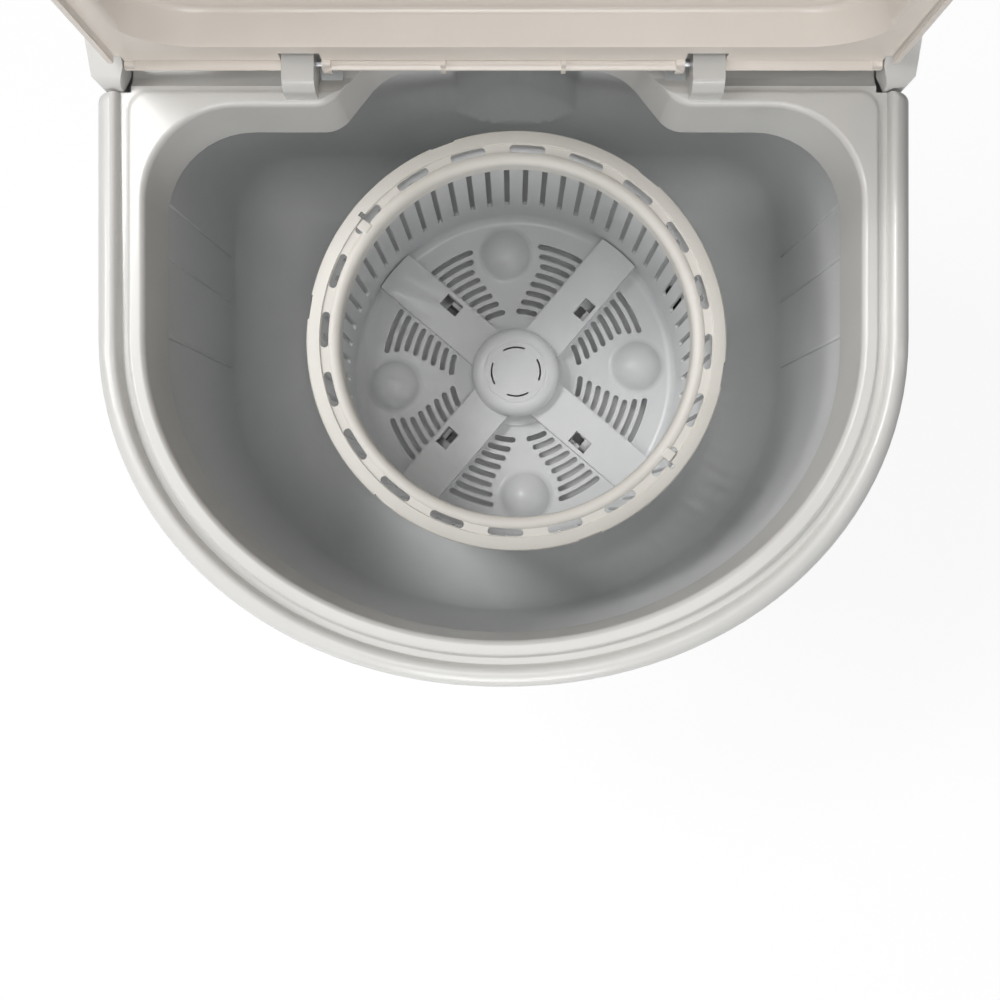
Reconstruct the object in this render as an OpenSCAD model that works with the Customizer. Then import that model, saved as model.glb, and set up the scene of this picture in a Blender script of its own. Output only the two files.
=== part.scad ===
// Mini washing machine: one tub, with a spin basket that stands on the pulsator,
// a round-fronted body, a hinged top lid and a control console along the back.
// Front is -Y, up is +Z, and the floor is z = 0. The lid is drawn standing open.

/* [Body] */
// Overall width of the body
body_w = 370; // [350:1:420]
// Overall depth of the body, front to back
body_d = 358; // [350:1:400]
// Depth of the half-oval that forms the front of the body
front_round = 160; // [140:1:170]
// Height of the deck above the floor
deck_z = 500; // [490:1:560]
// Radius of the two rear corners of the body
rear_r = 25; // [15:1:35]

/* [Case] */
// Wall thickness of the outer case
case_wall = 2.5; // [2:0.1:3.5]
// Height of the band that the top frame hides above the case
top_band = 33; // [30:1:45]
// How much narrower the case is at the floor, on each side
case_taper = 5; // [0:0.5:8]
// Thickness of the base pan
pan_t = 3; // [2:0.5:5]
// Height of the rim that locates the base pan in the case
pan_rim = 20; // [12:1:30]

/* [Feet] */
// Radius of a rubber foot
foot_r = 16; // [12:1:20]
// Height of a rubber foot
foot_h = 11; // [8:1:16]

/* [Top frame] */
// Width of the raised kerb round the deck
kerb_w = 8.8; // [7:0.1:11]
// Height of the kerb above the deck
kerb_h = 4; // [2:0.5:6]
// Width of the groove that the lid skirt drops into
groove_w = 6.4; // [6:0.1:8]
// Depth of the groove below the deck
groove_h = 1.2; // [0.6:0.1:3]
// Width of the deck band between groove and opening
deck_band = 6.2; // [5:0.1:10]
// Thickness of the deck
deck_t = 3; // [2.5:0.1:4]
// Depth of the collar that hangs from the edge of the opening
collar_h = 46; // [30:1:55]
// Thickness of the collar
collar_t = 2.5; // [2:0.1:3.5]
// Thickness of the skirt that covers the top of the case
skirt_t = 2.3; // [2:0.1:3]
// Radius of the rear corners of the opening
opening_r = 42; // [30:1:50]
// How far the shelf in front of the hinge posts stands forward of the hinge
shelf_back = 18; // [16:0.5:24]

/* [Hinge] */
// Distance from the back of the body to the lid hinge
hinge_back = 75; // [72:1:90]
// Height of the hinge axis above the deck
hinge_up = 4; // [3.5:0.1:5]
// Distance of each hinge post from the middle of the body
post_x = 91.5; // [85:0.5:110]
// Width of a hinge post
post_w = 14.4; // [12:0.1:20]
// Height of a hinge post above the deck
post_h = 16; // [13:0.5:17]
// Radius of a hinge pin
pin_r = 2; // [1.5:0.1:2.5]
// Running clearance round a hinge pin
pin_fit = 0.06; // [0.03:0.01:0.1]

/* [Lid] */
// Thickness of the lid
lid_t = 2.5; // [2:0.1:3]
// Depth of the skirt round the lid
lid_skirt = 3.5; // [2.5:0.1:4]
// Width of the flat rim at the sides and the front of the lid
lid_rim = 11.6; // [9:0.1:16]
// Width of the flat rim along the hinge
lid_rear_rim = 21.5; // [21:0.5:28]
// Height of the dome of the lid
lid_dome = 15; // [10:0.5:16]
// Angle to which the lid opens
lid_open = 90; // [80:1:92]

/* [Console] */
// Height of the back edge of the console above the deck
console_h = 45; // [42:1:60]
// Slope of the control panel
panel_tilt = 18; // [12:1:20]
// Length of the control panel
panel_l = 300; // [260:1:320]
// Depth of the control panel
panel_d = 40; // [38:1:42]
// Radius of a control knob
knob_r = 17; // [14:0.5:19]
// Height of a control knob
knob_h = 15; // [12:0.5:20]
// Distance of each knob from the middle
knob_x = 78; // [60:1:110]
// Radius of a knob spindle
spindle_r = 3; // [2.5:0.1:4]

/* [Wash tub] */
// Depth of the tub below the deck
tub_depth = 250; // [240:1:290]
// Wall thickness of the tub
tub_t = 2.6; // [2:0.1:4]
// Radius where the tub wall runs into its floor
tub_fillet = 38; // [25:1:45]
// How much narrower the tub is at the bottom, on each side
tub_draft = 2.5; // [0:0.5:5]
// Width of the scoop in the rear wall of the tub
scoop_w = 70; // [60:1:80]
// Height of the lowest point of the scoop above the tub floor
scoop_up = 98; // [80:1:120]
// Depth of the scoop
scoop_d = 14; // [8:1:18]

/* [Spin basket] */
// Sideways place of the drive axis
axis_x = 6; // [-10:0.5:10]
// Front to back place of the drive axis
axis_y = -16; // [-25:0.5:-5]
// Inner radius of the basket wall
basket_r = 96.8; // [90:0.1:100]
// Thickness of the basket wall
basket_t = 2; // [1.5:0.1:3]
// Height of the basket floor above the tub floor
basket_lift = 31; // [28:0.5:36]
// Height of the basket above its floor
basket_h = 179; // [150:1:200]
// Number of slots in the basket wall
wall_slots = 60; // [40:2:72]
// Width of a wall slot
wall_slot_w = 2.7; // [2:0.1:3.2]
// Height of a wall slot
wall_slot_h = 108; // [80:1:115]
// Height of the foot of the wall slots above the basket floor
wall_slot_up = 33; // [25:1:45]
// Width of an arm of the basket floor
arm_w = 25.4; // [22:0.2:30]
// Height of an arm above the basket floor
arm_h = 12; // [8:0.5:14]
// Angle that the arms are turned from the diagonals
arm_turn = 4.6; // [0:0.1:10]
// Radius of the hub
hub_r = 26; // [23:0.5:30]
// Height of the hub above the basket floor
hub_h = 25; // [22:0.5:30]
// Radius at the foot of a dome on the basket floor
dome_r = 15; // [12:0.5:17]
// Height of a dome
dome_h = 10; // [6:0.5:12]
// Distance of a dome from the axis
dome_at = 73.8; // [68:0.2:76]
// Number of arc slots in each group
arc_slots = 8; // [4:1:8]
// Radius of the innermost arc slot
arc_first = 39.2; // [38:0.2:44]
// Spacing of the arc slots
arc_pitch = 5.8; // [5.4:0.1:6.2]
// Width of an arc slot
arc_w = 3.3; // [2.5:0.1:3.6]
// Width of the ring on top of the basket
ring_w = 16.6; // [14:0.1:20]
// Number of slots in the ring
ring_slots = 20; // [12:1:24]

/* [Pulsator and shaft] */
// Radius of the pulsator
pulsator_r = 84; // [70:1:90]
// Height of the pulsator above the tub floor
pulsator_up = 8; // [5:0.5:10]
// Thickness of the pulsator plate
pulsator_t = 5; // [4:0.5:6]
// Radius of the drive shaft
shaft_r = 6; // [5:0.5:7]
// Running clearance round the drive shaft
shaft_fit = 0.05; // [0.02:0.01:0.1]
// Outer radius of a shaft bearing
bearing_r = 16; // [14:0.5:18]
// Height of a shaft bearing
bearing_h = 10; // [8:0.5:12]
// Distance between the two shaft bearings
bearing_span = 40; // [30:1:50]

/* [Drive] */
// Pitch radius of the driven pulley
big_pulley_r = 60; // [50:1:66]
// Pitch radius of the motor pulley
small_pulley_r = 20; // [16:1:26]
// Height of a pulley
pulley_h = 14; // [12:0.5:18]
// Distance from the drive axis back to the motor axis
belt_centres = 108; // [100:1:112]
// Width of the belt
belt_w = 6; // [5:0.5:6]
// Thickness of the belt
belt_t = 5; // [4:0.5:6]
// Radius of the motor
motor_r = 52; // [45:1:54]
// Height of the motor
motor_h = 84; // [70:1:90]
// Radius of the motor shaft
motor_shaft_r = 5; // [4:0.5:6]
// Radius of the capacitor
capacitor_r = 17; // [14:0.5:20]
// Length of the capacitor
capacitor_l = 62; // [50:1:70]

/* [Water fittings] */
// Outer radius of the drain spigot
drain_r = 12.5; // [10:0.5:14]
// Wall thickness of the drain pipe
drain_t = 2; // [1.5:0.5:3]
// Sideways place of the drain pipe
drain_x = 100; // [95:1:104]
// Height of the drain spigot above the floor
drain_z = 62; // [55:1:90]
// Outer radius of the water inlet
inlet_r = 10; // [8:0.5:11]
// Depth of the inlet below the deck
inlet_down = 60; // [56:1:70]
// Length of each free spigot
spigot_l = 22; // [18:1:26]
// Gap between a spigot and the cup round it
cup_gap = 8; // [7:0.5:10]

/* [Rear cover] */
// Width of the rear service cover
cover_w = 210; // [180:1:220]
// Height of the rear service cover
cover_h = 150; // [120:1:170]
// Height of the lower edge of the rear service cover
cover_z = 95; // [92:1:110]
// Thickness of the rear service cover
cover_t = 2; // [1.5:0.1:2.5]

/* [Carry grips] */
// Length of a carry grip
grip_l = 96; // [80:1:120]
// Height of a carry grip
grip_h = 30; // [24:1:40]
// Depth of a carry grip below the deck
grip_down = 95; // [90:1:130]

/* [Hidden] */

$fn = 64;
eps = 0.05;
seat = 0.3;
front_steps = 60;
corner_steps = 8;

white = "#EFEFEE";
warm = "#D8CFC6";
grey = "#9A9DA0";
pale = "#C9CCCE";
dark = "#3A3D40";
steel = "#A9ADB1";

// How much squarer than a true oval the front is at its outer edge
front_square = 0.025;
// How deep the slotted channel of the basket ring lies below its top
ring_sink = 1.6;

half_w = body_w / 2;
back_y = body_d / 2;
round_y = front_round - back_y;
hinge_y = back_y - hinge_back;
hinge_z = deck_z + hinge_up;

// Heights that follow from the deck
kerb_z = deck_z + kerb_h;
skirt_z = kerb_z - top_band - 9;
case_top = kerb_z - top_band - 4;
case_out = skirt_t + seat;
case_foot = foot_h + pan_t;
case_back = back_y - skirt_t - seat;
flange_t = 2.5;

// Opening in the deck
groove_out = kerb_w;
groove_in = kerb_w + groove_w;
opening_in = groove_in + deck_band;
shelf_y = hinge_y - shelf_back;
bay_y = hinge_y + 12;
bay_r = 30;
tongue_r = shelf_back - 2;
tongue_x = post_x - 4;
frame_end = hinge_y - 11.5;

// Console
cheek_y = frame_end + 0.4;
cheek_in = half_w - groove_in + 0.4;
console_front = hinge_y + lid_dome + lid_t + 2;
console_top = deck_z + console_h;
slope_back = back_y - 7;
slope_front_z = console_top - (slope_back - console_front) * tan(panel_tilt);
panel_y = (console_front + slope_back) / 2;
panel_z = (slope_front_z + console_top) / 2;
console_t = 2.5;
panel_t = 2.2;
panel_sink = 1.2;

// Lid, in its closed place
lid_in = kerb_w + 1.2;
lid_under = deck_z + 3;
lid_foot = lid_under - lid_skirt;
lid_rear = hinge_y - 4;
notch_front = hinge_y - 17;
ear_t = 4;
ear_x = post_x - post_w / 2 - 3 - ear_t / 2;
fin_t = 2.1;
fin_x = 27;

// Tub
tub_in = opening_in - collar_t - 1;
tub_rear = bay_y + collar_t + 1.3;
scoop_r = (scoop_w * scoop_w / 4 + scoop_d * scoop_d) / (2 * scoop_d);
tub_floor = deck_z - tub_depth;
tub_under = tub_floor - tub_t;
rim_under = deck_z - 8.5;
tub_top = rim_under - seat;
tub_corner = opening_r;

// Basket and pulsator
floor_z = tub_floor + basket_lift;
floor_t = 2.5;
basket_top = floor_z + basket_h;
basket_foot = floor_z - floor_t - 2.5;
basket_out = basket_r + basket_t;
ring_out = basket_out + 3.1;
ring_in = ring_out - ring_w;
arm_top = floor_z + arm_h;
vane_top = arm_top - floor_t - seat;
vane_w = arm_w - 2 * floor_t - 0.8;
plate_z = tub_floor + pulsator_up;
cap_h = 8;
boss_top = floor_z + hub_h - cap_h;
shaft_top = boss_top - 12;
pulsator_hub_top = shaft_top + 4;

// Bearing housing and drive
housing_z = tub_under - seat;
seal_h = 9;
upper_z = housing_z - seal_h - bearing_h - 2;
lower_z = upper_z - bearing_span;
housing_foot = lower_z - 3;
pulley_z = housing_foot - 6 - pulley_h;
shaft_foot = pulley_z - 16;
motor_y = axis_y + belt_centres;
motor_top = pulley_z - 12;
motor_foot = motor_top - motor_h;
bracket_t = 3;
mount_h = 8;
bracket_z = motor_foot - bracket_t - mount_h;
mount_at = motor_r - 4;

// Fittings in the rear wall
inlet_z = deck_z - inlet_down;
rear_in = case_back - case_wall;
cup_wall = 2;
cup_depth = spigot_l + 3;
gland_x = -120;
gland_z = drain_z;
gland_bore = 3.6;

function arc_points(c, r, a0, a1, n) =
    [for (i = [0:n]) c + r * [cos(a0 + (a1 - a0) * i / n), sin(a0 + (a1 - a0) * i / n)]];

// Outline of the body, set in by "inset": a half-oval in front, straight sides and round rear corners
function outline(inset, rear, r = 5) = let (e = 1 / (1 + front_square * max(0, 1 - inset / 20))) concat(
    [for (i = [0:front_steps]) let (a = 180 + 180 * i / front_steps)
        [(half_w - inset) * sign(cos(a)) * pow(abs(cos(a)), e), round_y - (front_round - inset) * pow(abs(sin(a)), e)]],
    arc_points([half_w - inset - r, rear - r], r, 0, 90, corner_steps),
    arc_points([-half_w + inset + r, rear - r], r, 90, 180, corner_steps));

// Outline of the opening: the deck runs round each hinge post in a tongue, with a bay between them
function opening(grow) = let (
        inset = opening_in - grow,
        a = half_w - inset,
        r = opening_r + grow,
        t = tongue_r - grow,
        c = [tongue_x, shelf_y + tongue_r],
        b = [tongue_x - tongue_r - bay_r, bay_y - bay_r])
    concat(
        [for (i = [0:front_steps]) let (b = 180 + 180 * i / front_steps)
            [a * cos(b), round_y + (front_round - inset) * sin(b)]],
        arc_points([a - r, shelf_y - opening_r], r, 0, 90, corner_steps + 3),
        arc_points(c, t, 270, 215, corner_steps),
        arc_points(b, bay_r + grow, 35, 90, corner_steps),
        arc_points([-b.x, b.y], bay_r + grow, 90, 145, corner_steps),
        arc_points([-c.x, c.y], t, 325, 270, corner_steps),
        arc_points([r - a, shelf_y - opening_r], r, 90, 180, corner_steps + 3));

// Skin through a stack of outlines, each given as [points, height], from the lowest up
module loft(rings) {
    n = len(rings[0][0]);
    last = len(rings) - 1;
    points = [for (ring = rings) for (p = ring[0]) [p.x, p.y, ring[1]]];
    sides = [for (k = [0:last - 1]) for (i = [0:n - 1]) let (j = (i + 1) % n, a = k * n, b = a + n)
        for (f = [[a + i, b + i, b + j], [a + i, b + j, a + j]]) f];
    polyhedron(points, concat([[for (i = [0:n - 1]) i]], sides,
        [[for (i = [n - 1:-1:0]) last * n + i]]));
}

module prism(points, z0, z1) {
    translate([0, 0, z0]) linear_extrude(z1 - z0) polygon(points);
}

// Profile of [y, z] points drawn out along X, centred
module bar_x(points, length) {
    rotate([90, 0, 90]) translate([0, 0, -length / 2]) linear_extrude(length) polygon(points);
}

module at_axis(z = 0) {
    translate([axis_x, axis_y, z]) children();
}

module tube(r_out, r_in, h) {
    difference() {
        cylinder(r = r_out, h = h);
        translate([0, 0, -1]) cylinder(r = r_in, h = h + 2);
    }
}

// Puts a shape that points up so that it points out of the rear wall at y
module out_back(x, y, z) {
    translate([x, y, z]) rotate([-90, 0, 0]) children();
}

// Puts a shape on the sloping control panel
module on_panel(x) {
    translate([x, panel_y, panel_z]) rotate([panel_tilt, 0, 0]) children();
}

module mirrored() {
    children();
    mirror([1, 0, 0]) children();
}

// Base, feet and case

function foot_places() = [[-half_w * 0.62, round_y - front_round * 0.5], [half_w * 0.62, round_y - front_round * 0.5],
    [-half_w * 0.75, back_y - 40], [half_w * 0.75, back_y - 40]];

function bracket_posts() = [for (sx = [-1, 1], sy = [-1, 1]) [axis_x + sx * (motor_r + 14), motor_y + sy * 34]];

module base_pan() color(dark) {
    difference() {
        union() {
            prism(outline(case_out + case_taper, case_back, rear_r), foot_h, case_foot);
            difference() {
                prism(outline(case_out + case_taper + case_wall + 0.5, rear_in - 0.5, rear_r - 3), foot_h, case_foot + pan_rim);
                prism(outline(case_out + case_taper + case_wall + 3, rear_in - 3, rear_r - 5), case_foot, case_foot + pan_rim + 1);
            }
            for (p = bracket_posts()) translate([p.x, p.y, foot_h]) cylinder(r = 9, h = bracket_z - foot_h);
            for (p = foot_places()) translate([p.x, p.y, foot_h]) cylinder(r = 8, h = pan_t + 6);
        }
        for (p = foot_places()) translate([p.x, p.y, foot_h - 1]) cylinder(r = 4 + seat, h = pan_t + 8);
        for (p = bracket_posts()) translate([p.x, p.y, bracket_z - 16]) cylinder(r = 2.05, h = 17);
    }
}

module rubber_feet() color(dark)
    for (p = foot_places()) translate([p.x, p.y, 0]) {
        rotate_extrude() polygon([[0, 0], [foot_r - 2, 0], [foot_r, 2], [foot_r - 1.5, foot_h], [0, foot_h]]);
        cylinder(r = 4, h = foot_h + pan_t + 5);
    }

cover_in = 14;
screw_places = [for (sx = [-1, 1], sz = [0, 1]) [sx * (cover_w / 2 - 7), cover_z + 7 + sz * (cover_h - 14)]];
recess_y = case_back - cover_t - 0.6;

module outer_case() color(white)
    difference() {
        union() {
            difference() {
                loft([[outline(case_out + case_taper, case_back, rear_r), case_foot],
                    [outline(case_out, case_back, rear_r), case_top]]);
                loft([[outline(case_out + case_taper + case_wall, rear_in, rear_r - case_wall), case_foot - 1],
                    [outline(case_out + case_wall, rear_in, rear_r - case_wall), case_top + 1]]);
            }
            translate([-cover_w / 2 - 3, recess_y - case_wall, cover_z - 3])
                cube([cover_w + 6, case_wall + 2, cover_h + 6]);
        }
        translate([-cover_w / 2 - 0.5, recess_y, cover_z - 0.5]) cube([cover_w + 1, 10, cover_h + 1]);
        translate([-cover_w / 2 + cover_in, recess_y - 10, cover_z + cover_in])
            cube([cover_w - 2 * cover_in, 20, cover_h - 2 * cover_in]);
        for (p = screw_places) out_back(p.x, recess_y - 8, p.y) cylinder(r = 1.7, h = 12);
        out_back(drain_x, rear_in - 2, drain_z) cylinder(r = drain_r + cup_gap + cup_wall + seat, h = 10);
        out_back(axis_x, rear_in - 2, inlet_z) cylinder(r = inlet_r + cup_gap + cup_wall + seat, h = 10);
        out_back(gland_x, rear_in - 2, gland_z) cylinder(r = 7 + seat, h = 10);
        mirrored() translate([half_w - 30, -grip_l / 2 + 30, deck_z - grip_down - grip_h / 2])
            cube([40, grip_l, grip_h]);
    }

// Pressed service cover with rows of louvres
module rear_cover() color(white)
    difference() {
        translate([-cover_w / 2, recess_y + 0.1, cover_z]) cube([cover_w, cover_t, cover_h]);
        for (p = screw_places) out_back(p.x, recess_y - 1, p.y) cylinder(r = 1.9, h = 8);
        for (i = [0:6], s = [-1, 1])
            translate([s * 42 - 32, recess_y - 1, cover_z + 34 + i * 13]) cube([64, 8, 4.2]);
    }

module cover_screws() color(steel)
    for (p = screw_places) {
        out_back(p.x, recess_y - 6, p.y) cylinder(r = 1.65, h = cover_t + 6.4);
        out_back(p.x, recess_y + cover_t + 0.15, p.y) difference() {
            cylinder(r = 3.4, h = 1.9);
            for (a = [0, 90]) rotate(a) translate([-2, -0.4, 1]) cube([4, 0.8, 2]);
        }
    }

// Moulded hand grips let into both sides of the case
module carry_grips() color(grey)
    mirrored() translate([0, -grip_l / 2 + 30, deck_z - grip_down - grip_h / 2]) {
        x1 = half_w - case_out - 1.5 - case_taper * grip_down / (case_top - case_foot);
        x0 = half_w - tub_in + tub_t + 1.2;
        difference() {
            translate([x0, seat, seat]) cube([x1 - x0, grip_l - 2 * seat, grip_h - 2 * seat]);
            translate([x0 + 1.6, 2, 2]) cube([x1, grip_l - 4, grip_h - 4]);
        }
    }

// Tub

module wash_tub() color(grey) {
    fillet = [for (i = [0:6]) let (a = 15 * i) [tub_fillet * (1 - sin(a)), tub_fillet * (1 - cos(a))]];
    inner = [for (f = fillet) [outline(tub_in + tub_draft + f[0], tub_rear - tub_draft - f[0], tub_corner - f[0] * 0.6),
        tub_floor + f[1]]];
    outer = [for (f = fillet) [outline(tub_in + tub_draft + f[0] - tub_t, tub_rear - tub_draft - f[0] + tub_t,
        tub_corner - f[0] * 0.6 + tub_t), tub_under + f[1]]];
    difference() {
        union() {
            loft(concat(outer, [[outline(tub_in - tub_t, tub_rear + tub_t, tub_corner + tub_t), tub_top]]));
            prism(outline(case_out + 0.4, tub_rear + 9, 10), case_top, case_top + flange_t);
            at_axis(tub_under) cylinder(r = pad_r, h = tub_t + 3.5);
            translate([drain_x, sump_y, tub_under - 8]) cylinder(r = drain_r + 4, h = 9);
            scoop(tub_t);
        }
        difference() {
            loft(concat(inner, [[outline(tub_in, tub_rear, tub_corner), tub_top + 1]]));
            at_axis(tub_under) cylinder(r = pad_r, h = tub_t + 3.5);
        }
        scoop(0);
        at_axis(tub_under - 1) cylinder(r = seal_r + seat, h = 20);
        translate([drain_x, sump_y, tub_under - 9]) cylinder(r = drain_r + 0.1, h = 9);
        translate([drain_x, sump_y, tub_under - 9]) cylinder(r = drain_r - drain_t, h = 20);
        out_back(axis_x, tub_rear - 10, inlet_z) cylinder(r = inlet_r - 2, h = 60);
        housing_bolt_places() translate([0, 0, tub_under - 1]) cylinder(r = 2.55, h = 5.6);
    }
}
sump_y = 34;
seal_r = 12;
pad_r = 44;

// Rounded scoop down the middle of the rear wall, below the water inlet
module scoop(t) intersection() {
    translate([axis_x, tub_rear - tub_draft - scoop_r + scoop_d, tub_floor + scoop_up + scoop_w / 2]) union() {
        cylinder(r = scoop_r + t, h = tub_top - tub_floor - scoop_up - scoop_w / 2 - (t > 0 ? 4 : 0));
        sphere(r = scoop_r + t);
    }
    translate([-100, tub_rear - 12, 0]) cube([200, 100, deck_z - 20]);
}
module housing_bolt_places() at_axis() for (a = [30:60:330]) rotate(a) translate([38, 0, 0]) children();

// Top frame

module top_frame() color(white)
    difference() {
        union() {
            difference() {
                union() {
                    rim_and_deck();
                    prism(opening(collar_t), deck_z - collar_h, deck_z);
                    rear_ledge();
                }
                trough();
                lid_groove();
            }
            mirrored() hinge_post();
        }
        mouth();
        mirrored() hinge_bore();
        mirrored() translate([ear_x - 5.5, frame_end + 6.3, deck_z - 20])
            cube([post_x - post_w / 2 - ear_x + 5, 13, 30]);
    }

// Skirt, round kerb and flat deck in one skin
module rim_and_deck()
    difference() {
        loft([[outline(0, frame_end), skirt_z],
            [outline(0, frame_end), kerb_z - 7],
            [outline(0.6, frame_end - 0.3), kerb_z - 4],
            [outline(2.2, frame_end - 0.6), kerb_z - 1.6],
            [outline(4.6, frame_end - 0.8), kerb_z - 0.3],
            [outline(6.4, frame_end - 0.8), kerb_z]]);
        prism(outline(skirt_t, frame_end + 9), skirt_z - 1, rim_under);
        prism(outline(groove_in + 2.5, frame_end + 9), skirt_z, deck_z - deck_t);
        loft([[outline(groove_out + 0.9, frame_end + 9), deck_z - 0.01],
            [outline(groove_out + 0.8, frame_end + 9), kerb_z - 2.4],
            [outline(groove_out + 0.1, frame_end + 9), kerb_z - 1],
            [outline(groove_out - 0.9, frame_end + 9), kerb_z - 0.3],
            [outline(groove_out - 2.4, frame_end + 9), kerb_z + 0.05]]);
    }

// The shallow groove for the rim of the lid turns round the rear corners of the deck into the trough
module lid_groove()
    difference() {
        loft([[outline(groove_out + 1.4, frame_end + 6), deck_z - groove_h],
            [outline(groove_out + 0.9, frame_end + 6), deck_z - groove_h + 0.4],
            [outline(groove_out + 0.9, frame_end + 6), deck_z + 0.1]]);
        loft([[outline(groove_in - 2.6, frame_end + 1.6, 9), deck_z - groove_h - 1],
            [outline(groove_in - 2.2, frame_end + 1.2, 9), deck_z - groove_h],
            [outline(groove_in - 1, frame_end + 0.2, 9), deck_z - 0.35],
            [outline(groove_in + 0.4, frame_end - 1.2, 9), deck_z + 0.02],
            [outline(groove_in + 0.4, frame_end - 1.2, 9), deck_z + 1]]);
    }

// The edge of the opening rolls over into the collar
module mouth() {
    loft([[opening(0), deck_z - collar_h - 1],
        [opening(0), deck_z - 3.4],
        [opening(0.35), deck_z - 1.9],
        [opening(1), deck_z - 0.8],
        [opening(1.8), deck_z - 0.2],
        [opening(2.6), deck_z + 0.01]]);
    prism(opening(0), deck_z, kerb_z + 20);
}

// Trough behind the deck in which the hinge edge of the lid turns
ledge_y = console_front + 3.5;
ledge_top = [[shelf_y + 1, deck_z], [frame_end + 0.5, deck_z], [frame_end + 2.6, deck_z - 1],
    [frame_end + 5, deck_z - 3.6], [frame_end + 7.5, deck_z - 4.8], [hinge_y + 9, deck_z - 5],
    [hinge_y + 12, deck_z - 1], [ledge_y, deck_z - 1]];
module rear_ledge()
    bar_x(concat(ledge_top, [for (i = [len(ledge_top) - 1:-1:0]) ledge_top[i] - [0, deck_t - 0.5]]),
        2 * (cheek_in - seat));
module trough()
    bar_x(concat([for (i = [1:len(ledge_top) - 1]) ledge_top[i] + [0.01, 0]],
        [[ledge_y + 5, deck_z - 1], [ledge_y + 5, deck_z + 2], [frame_end + 0.5, deck_z + 2]]), body_w);

// The top of a post is round about the hinge, so that the lid swings past it
module hinge_post() translate([post_x, 0, 0]) bar_x(concat([[hinge_y - 15.3, deck_z - 5]],
    arc_points([hinge_y, hinge_z], 16, 163, 131, 4),
    [[hinge_y + 2, deck_z + post_h], [hinge_y + 7, deck_z + post_h - 3], [hinge_y + 8, deck_z - 6]]), post_w);

module hinge_bore() translate([post_x - post_w / 2 - 1, hinge_y, hinge_z]) rotate([0, 90, 0])
    cylinder(r = pin_r + pin_fit, h = post_w - 2);

module hinge_pins() color(steel) mirrored()
    translate([ear_x - ear_t / 2 + 0.3, hinge_y, hinge_z]) rotate([0, 90, 0])
        cylinder(r = pin_r, h = post_x + post_w / 2 - 4 - ear_x + ear_t / 2 - 0.3);

// Lid, drawn shut and turned up about the hinge

module lid() color(warm)
    translate([0, hinge_y, hinge_z]) rotate([-lid_open, 0, 0]) translate([0, -hinge_y, -hinge_z]) shut_lid();

module shut_lid() {
    top = lid_under + lid_t;
    rim = lid_in + lid_rim;
    back = lid_rear - lid_rear_rim;
    difference() {
        union() {
            difference() {
                loft([[outline(lid_in, lid_rear), lid_foot],
                    [outline(lid_in, lid_rear), top - 1],
                    [outline(lid_in + 1, lid_rear - 1), top],
                    [outline(rim - 2, back + 2, 34), top],
                    [outline(rim - 0.2, back + 0.2, 32), top + lid_dome * 0.2],
                    [outline(rim + 4.5, back - 3.4, 30), top + lid_dome * 0.8],
                    [outline(rim + 6, back - 4.9, 30), top + lid_dome * 0.94],
                    [outline(rim + 8.4, back - 7.3, 29), top + lid_dome]]);
                loft([[outline(lid_in + lid_t, lid_rear - lid_t, 4), lid_foot - 1],
                    [outline(lid_in + lid_t, lid_rear - lid_t, 4), lid_under],
                    [outline(rim, back, 32), lid_under + 0.01],
                    [outline(rim + 2, back - 2, 30), lid_under + lid_dome * 0.2],
                    [outline(rim + 6.5, back - 5.6, 28), lid_under + lid_dome * 0.8],
                    [outline(rim + 7.6, back - 6.7, 28), lid_under + lid_dome * 0.92],
                    [outline(rim + 9.6, back - 8.7, 27), lid_under + lid_dome]]);
                translate([2 * lid_t - cheek_in, lid_rear - 3.8, lid_foot - 1])
                    cube([2 * cheek_in - 4 * lid_t, 2.5, top - lid_foot]);
            }
            mirrored() lid_ear(ear_x, ear_t);
            mirrored() lid_ear(fin_x, fin_t);
            lid_grip(top);
        }
        mirrored() translate([ear_x + ear_t / 2, notch_front, lid_foot - 1])
            cube([post_w + 3.7, 30, post_h + 20]);
        mirrored() translate([ear_x - ear_t, hinge_y, hinge_z]) rotate([0, 90, 0])
            cylinder(r = pin_r + 0.02, h = 2 * ear_t);
        mirrored() translate([cheek_in - 0.4, hinge_y - 14, lid_foot - 1]) cube([20, 30, 20]);
    }
}

module lid_ear(x, t) translate([x - t / 2, hinge_y, hinge_z]) {
    rotate([0, 90, 0]) cylinder(r = hinge_up + 0.5, h = t);
    translate([0, -8, -hinge_up - 0.5]) cube([t, 8, hinge_up + 2]);
}

// Low moulded bar near the front edge to lift the lid by
module lid_grip(top) translate([0, round_y - front_round + lid_in + lid_rim + 26, top + lid_dome - 1])
    bar_x([[-7, 0], [-5, 5], [-2, 6.5], [2, 6.5], [5, 5], [7, 0]], 96);

// Console, panel and knobs

module console_outline(inset, y0) polygon(concat([[-half_w + inset, y0 + 3.6], [4 - half_w + inset, y0],
    [half_w - 4 - inset, y0], [half_w - inset, y0 + 3.6]],
    arc_points([half_w - rear_r, back_y - rear_r], rear_r - inset, 0, 90, 12),
    arc_points([rear_r - half_w, back_y - rear_r], rear_r - inset, 90, 180, 12)));

function console_side(t) = concat(
    [[cheek_y + (t > 0 ? -5 : 0), skirt_z - (t > 0 ? 5 : 0)], [cheek_y + (t > 0 ? -5 : 0), deck_z - t]],
    [for (a = [180:-15:120]) [cheek_y + 12 + (12 - t) * cos(a), deck_z + 1 + (12 - t) * sin(a)]],
    [[console_front, slope_front_z - t], [slope_back, console_top - t]],
    arc_points([slope_back, console_top - 7], 7 - t, 90, 0, 4),
    [[back_y - t, skirt_z - (t > 0 ? 5 : 0)]]);

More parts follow.
